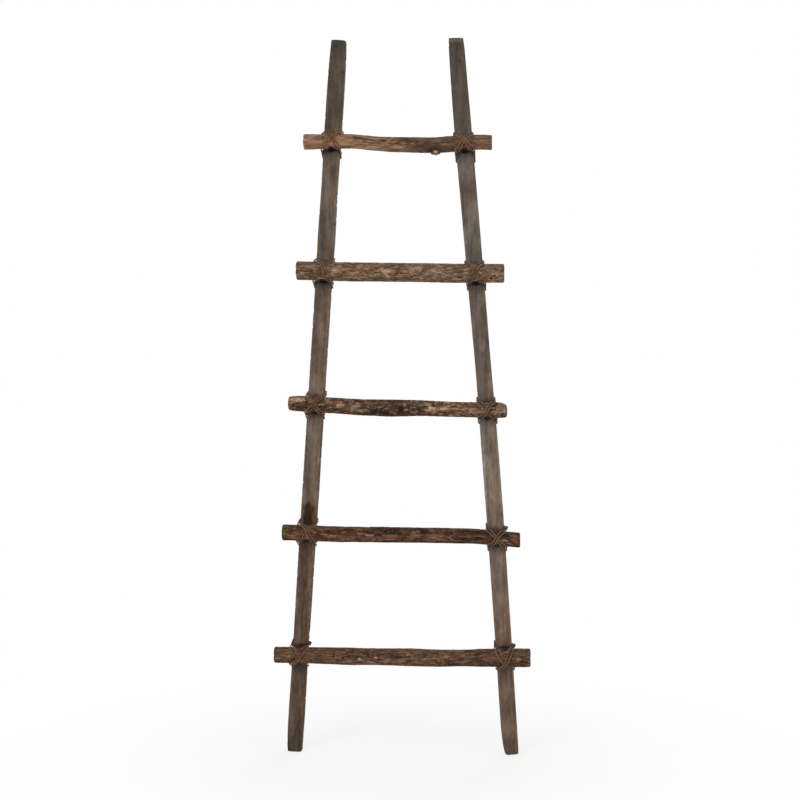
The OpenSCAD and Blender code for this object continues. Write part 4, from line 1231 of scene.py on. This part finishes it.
def snug(c, p):
    """The point drawn in to the rail's side and the real log, which the drawing's
    even reach clears."""
    z = round(p.z, 1)
    across = p.x - rail_line(c.side, z)
    outward = 1 if across > 0 else -1
    beyond = abs(across) - c.half - CORD_OFF
    hold = soft_step(beyond, -1.5, 0)
    edge = rail_half(c.side, LEFT if across < 0 else RIGHT, z) + TWINE_R - PRESSED
    bow = LOG_BOW + (SIDE_BOW - LOG_BOW) * soft_step(p.y, c.axis_y, RAIL_FRONT)
    beside = edge + min(beyond, 0) + bow * max(beyond, 0)
    p = Vector((p.x + outward * (beside - abs(across)) * hold, p.y, p.z))
    if p.y > RAIL_FRONT - 1:
        return p
    away = Vector((p.y - c.axis_y, p.z - c.z))
    spare = away.length - c.r
    x = round(p.x, 1)
    full = rung_r(c.log, x)
    hold = 1 - soft_step(spare, *LET_GO)
    new_r = full + TWINE_R - PRESSED + spare
    target = Vector((rung_axis_y(full), rung_axis_z(c.log, x))) + away.normalized() * new_r
    return Vector((p.x, p.y + (target[0] - p.y) * hold, p.z + (target[1] - p.z) * hold))


def laid(c, path, knot_length):
    """The path drawn snug, except for its knotted end, which stays as it is tied."""
    knot_at = (len(path) - 1) * TWINE_STEP - knot_length
    tied = [soft_step(k * TWINE_STEP, knot_at - UNTIED, knot_at) if knot_length else 0
            for k in range(len(path))]
    return [snug(c, p).lerp(p, share) for p, share in zip(path, tied)]


def thread_cord(path, seed, shaded_knot_length):
    """Three-ply twine threaded along a path, its knotted last stretch darkened with painted shade.
    """
    count = len(path) - 1
    bm = round_blank(TWINE_SIDES, count - 1)
    frames, up = [], Vector((0.3, 0.2, 1))
    for k in range(count + 1):
        heading = (path[min(k + 1, count)] - path[max(k - 1, 0)]).normalized()
        up = (up - up.dot(heading) * heading).normalized()
        frames.append((up, heading.cross(up)))
    colour_and_shade = bm.verts.layers.float_color.new("colour_and_shade")
    lay = bm.verts.layers.float_vector.new("lay")
    knot_at = count * TWINE_STEP - shaded_knot_length
    for v in bm.verts:
        k = round((v.co.z + 0.5) * count)
        along = k * TWINE_STEP
        own = math.atan2(-v.co.x, v.co.y)
        turn = own + 2 * math.pi * along / PLY_LAY
        lobe = abs(math.cos(PLIES / 2 * own))
        plump = 1 + 0.09 * noise.noise(Vector((along / PLUMP_RUN, seed, 0)))
        wide = TWINE_R * (1 - GROOVE + GROOVE * lobe ** 0.6) * plump
        ply = math.floor((own / (2 * math.pi) * PLIES + 0.5) % PLIES)
        tone = noise.noise(Vector((along / TONE_RUN, ply * 3.3, seed))) * 1.5
        dirt_and_shade = 1 + 0.3 * noise.noise(Vector((along / DIRT_RUN, 7.7, seed)))
        # On a knotted end the twine is darkened with painted shade
        if shaded_knot_length:
            dirt_and_shade *= 1 - KNOT_SHADE * soft_step(along, knot_at, knot_at + KNOT_SHADE_FADE)
        colour = mix(TWINE_COLOUR, TWINE_PALE if tone > 0 else TWINE_DARK, min(abs(tone), 1))
        # The grooves between the plies are darkened with painted shade
        v[colour_and_shade] = linear(shade(colour, (1 - GROOVE_SHADE + GROOVE_SHADE * lobe) * dirt_and_shade))
        v[lay] = Vector((along / FIBRE_RUN, math.cos(turn) * wide, math.sin(turn) * wide)) * MM
        across, over = frames[k]
        v.co = path[k] + (across * math.cos(turn) + over * math.sin(turn)) * wide
    return bm


def twine_finish():
    """Fibres that run along the cord, read from the lay that the mesh carries."""
    material, tree, shader = new_material("twisted twine")
    lay = {"Vector": carried(tree, "lay", "Vector"), "Scale": 3600.0}
    fibres = add(tree, "TexNoise", {**lay, "Detail": 3.0, "Roughness": 0.6}).outputs["Fac"]
    light = spread(tree, fibres, 0.72, 1.28)
    join(tree, shader, {
        "Base Color": dimmed(tree, carried(tree, "colour_and_shade", "Color"), light),
        "Normal": bump(tree, fibres, SHALLOW, 0.8),
        "Roughness": 0.8, "Specular IOR Level": 0.25, "Sheen Weight": 0.15})
    return material


twine = twine_finish()
for i in range(5):
    for side, word in SIDES:
        crossing = Crossing(i, side)
        shaded_knot_length = 0 if LASH_LAYS[i][side][3] is None else KNOT_LENGTH
        path = evenly(smoothed(lash_route(crossing), CUTS), TWINE_STEP)
        path = laid(crossing, path, shaded_knot_length)
        cord = finish_piece(thread_cord(path, 2.0 * i + side, shaded_knot_length),
                            f"twine_lashing_{i + 1}_{word}", [twine],
                            [f"lashing_{i + 1}_{word}"])
        tell(cord, f"in {(len(path) - 1) * TWINE_STEP:.0f} mm of twine")

# %% [markdown]
# ## The screws
# The ten countersunk screws behind the lashings are real solids already, so they
# keep their shape and only get a finish: dull zinc with a fine grit and faint blotches.

# %% Screw finish
ZINC_GREY = (150, 148, 140)
zinc, tree, shader = new_material("zinc-plated steel")
grit = stretched_noise(tree, [900] * 3, Detail=3.0)
blotches = stretched_noise(tree, [160] * 3, Detail=2.0)
join(tree, shader, {
    "Base Color": dimmed(tree, linear(ZINC_GREY)[:3], spread(tree, blotches, 0.75, 1.1)),
    "Roughness": spread(tree, grit, 0.32, 0.5), "Metallic": 0.9,
    "Normal": bump(tree, grit, 0.0001, 0.3)})
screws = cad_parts["rung_screws"]
screws.data.materials.clear()
screws.data.materials.append(zinc)
print("finished", screws.name)
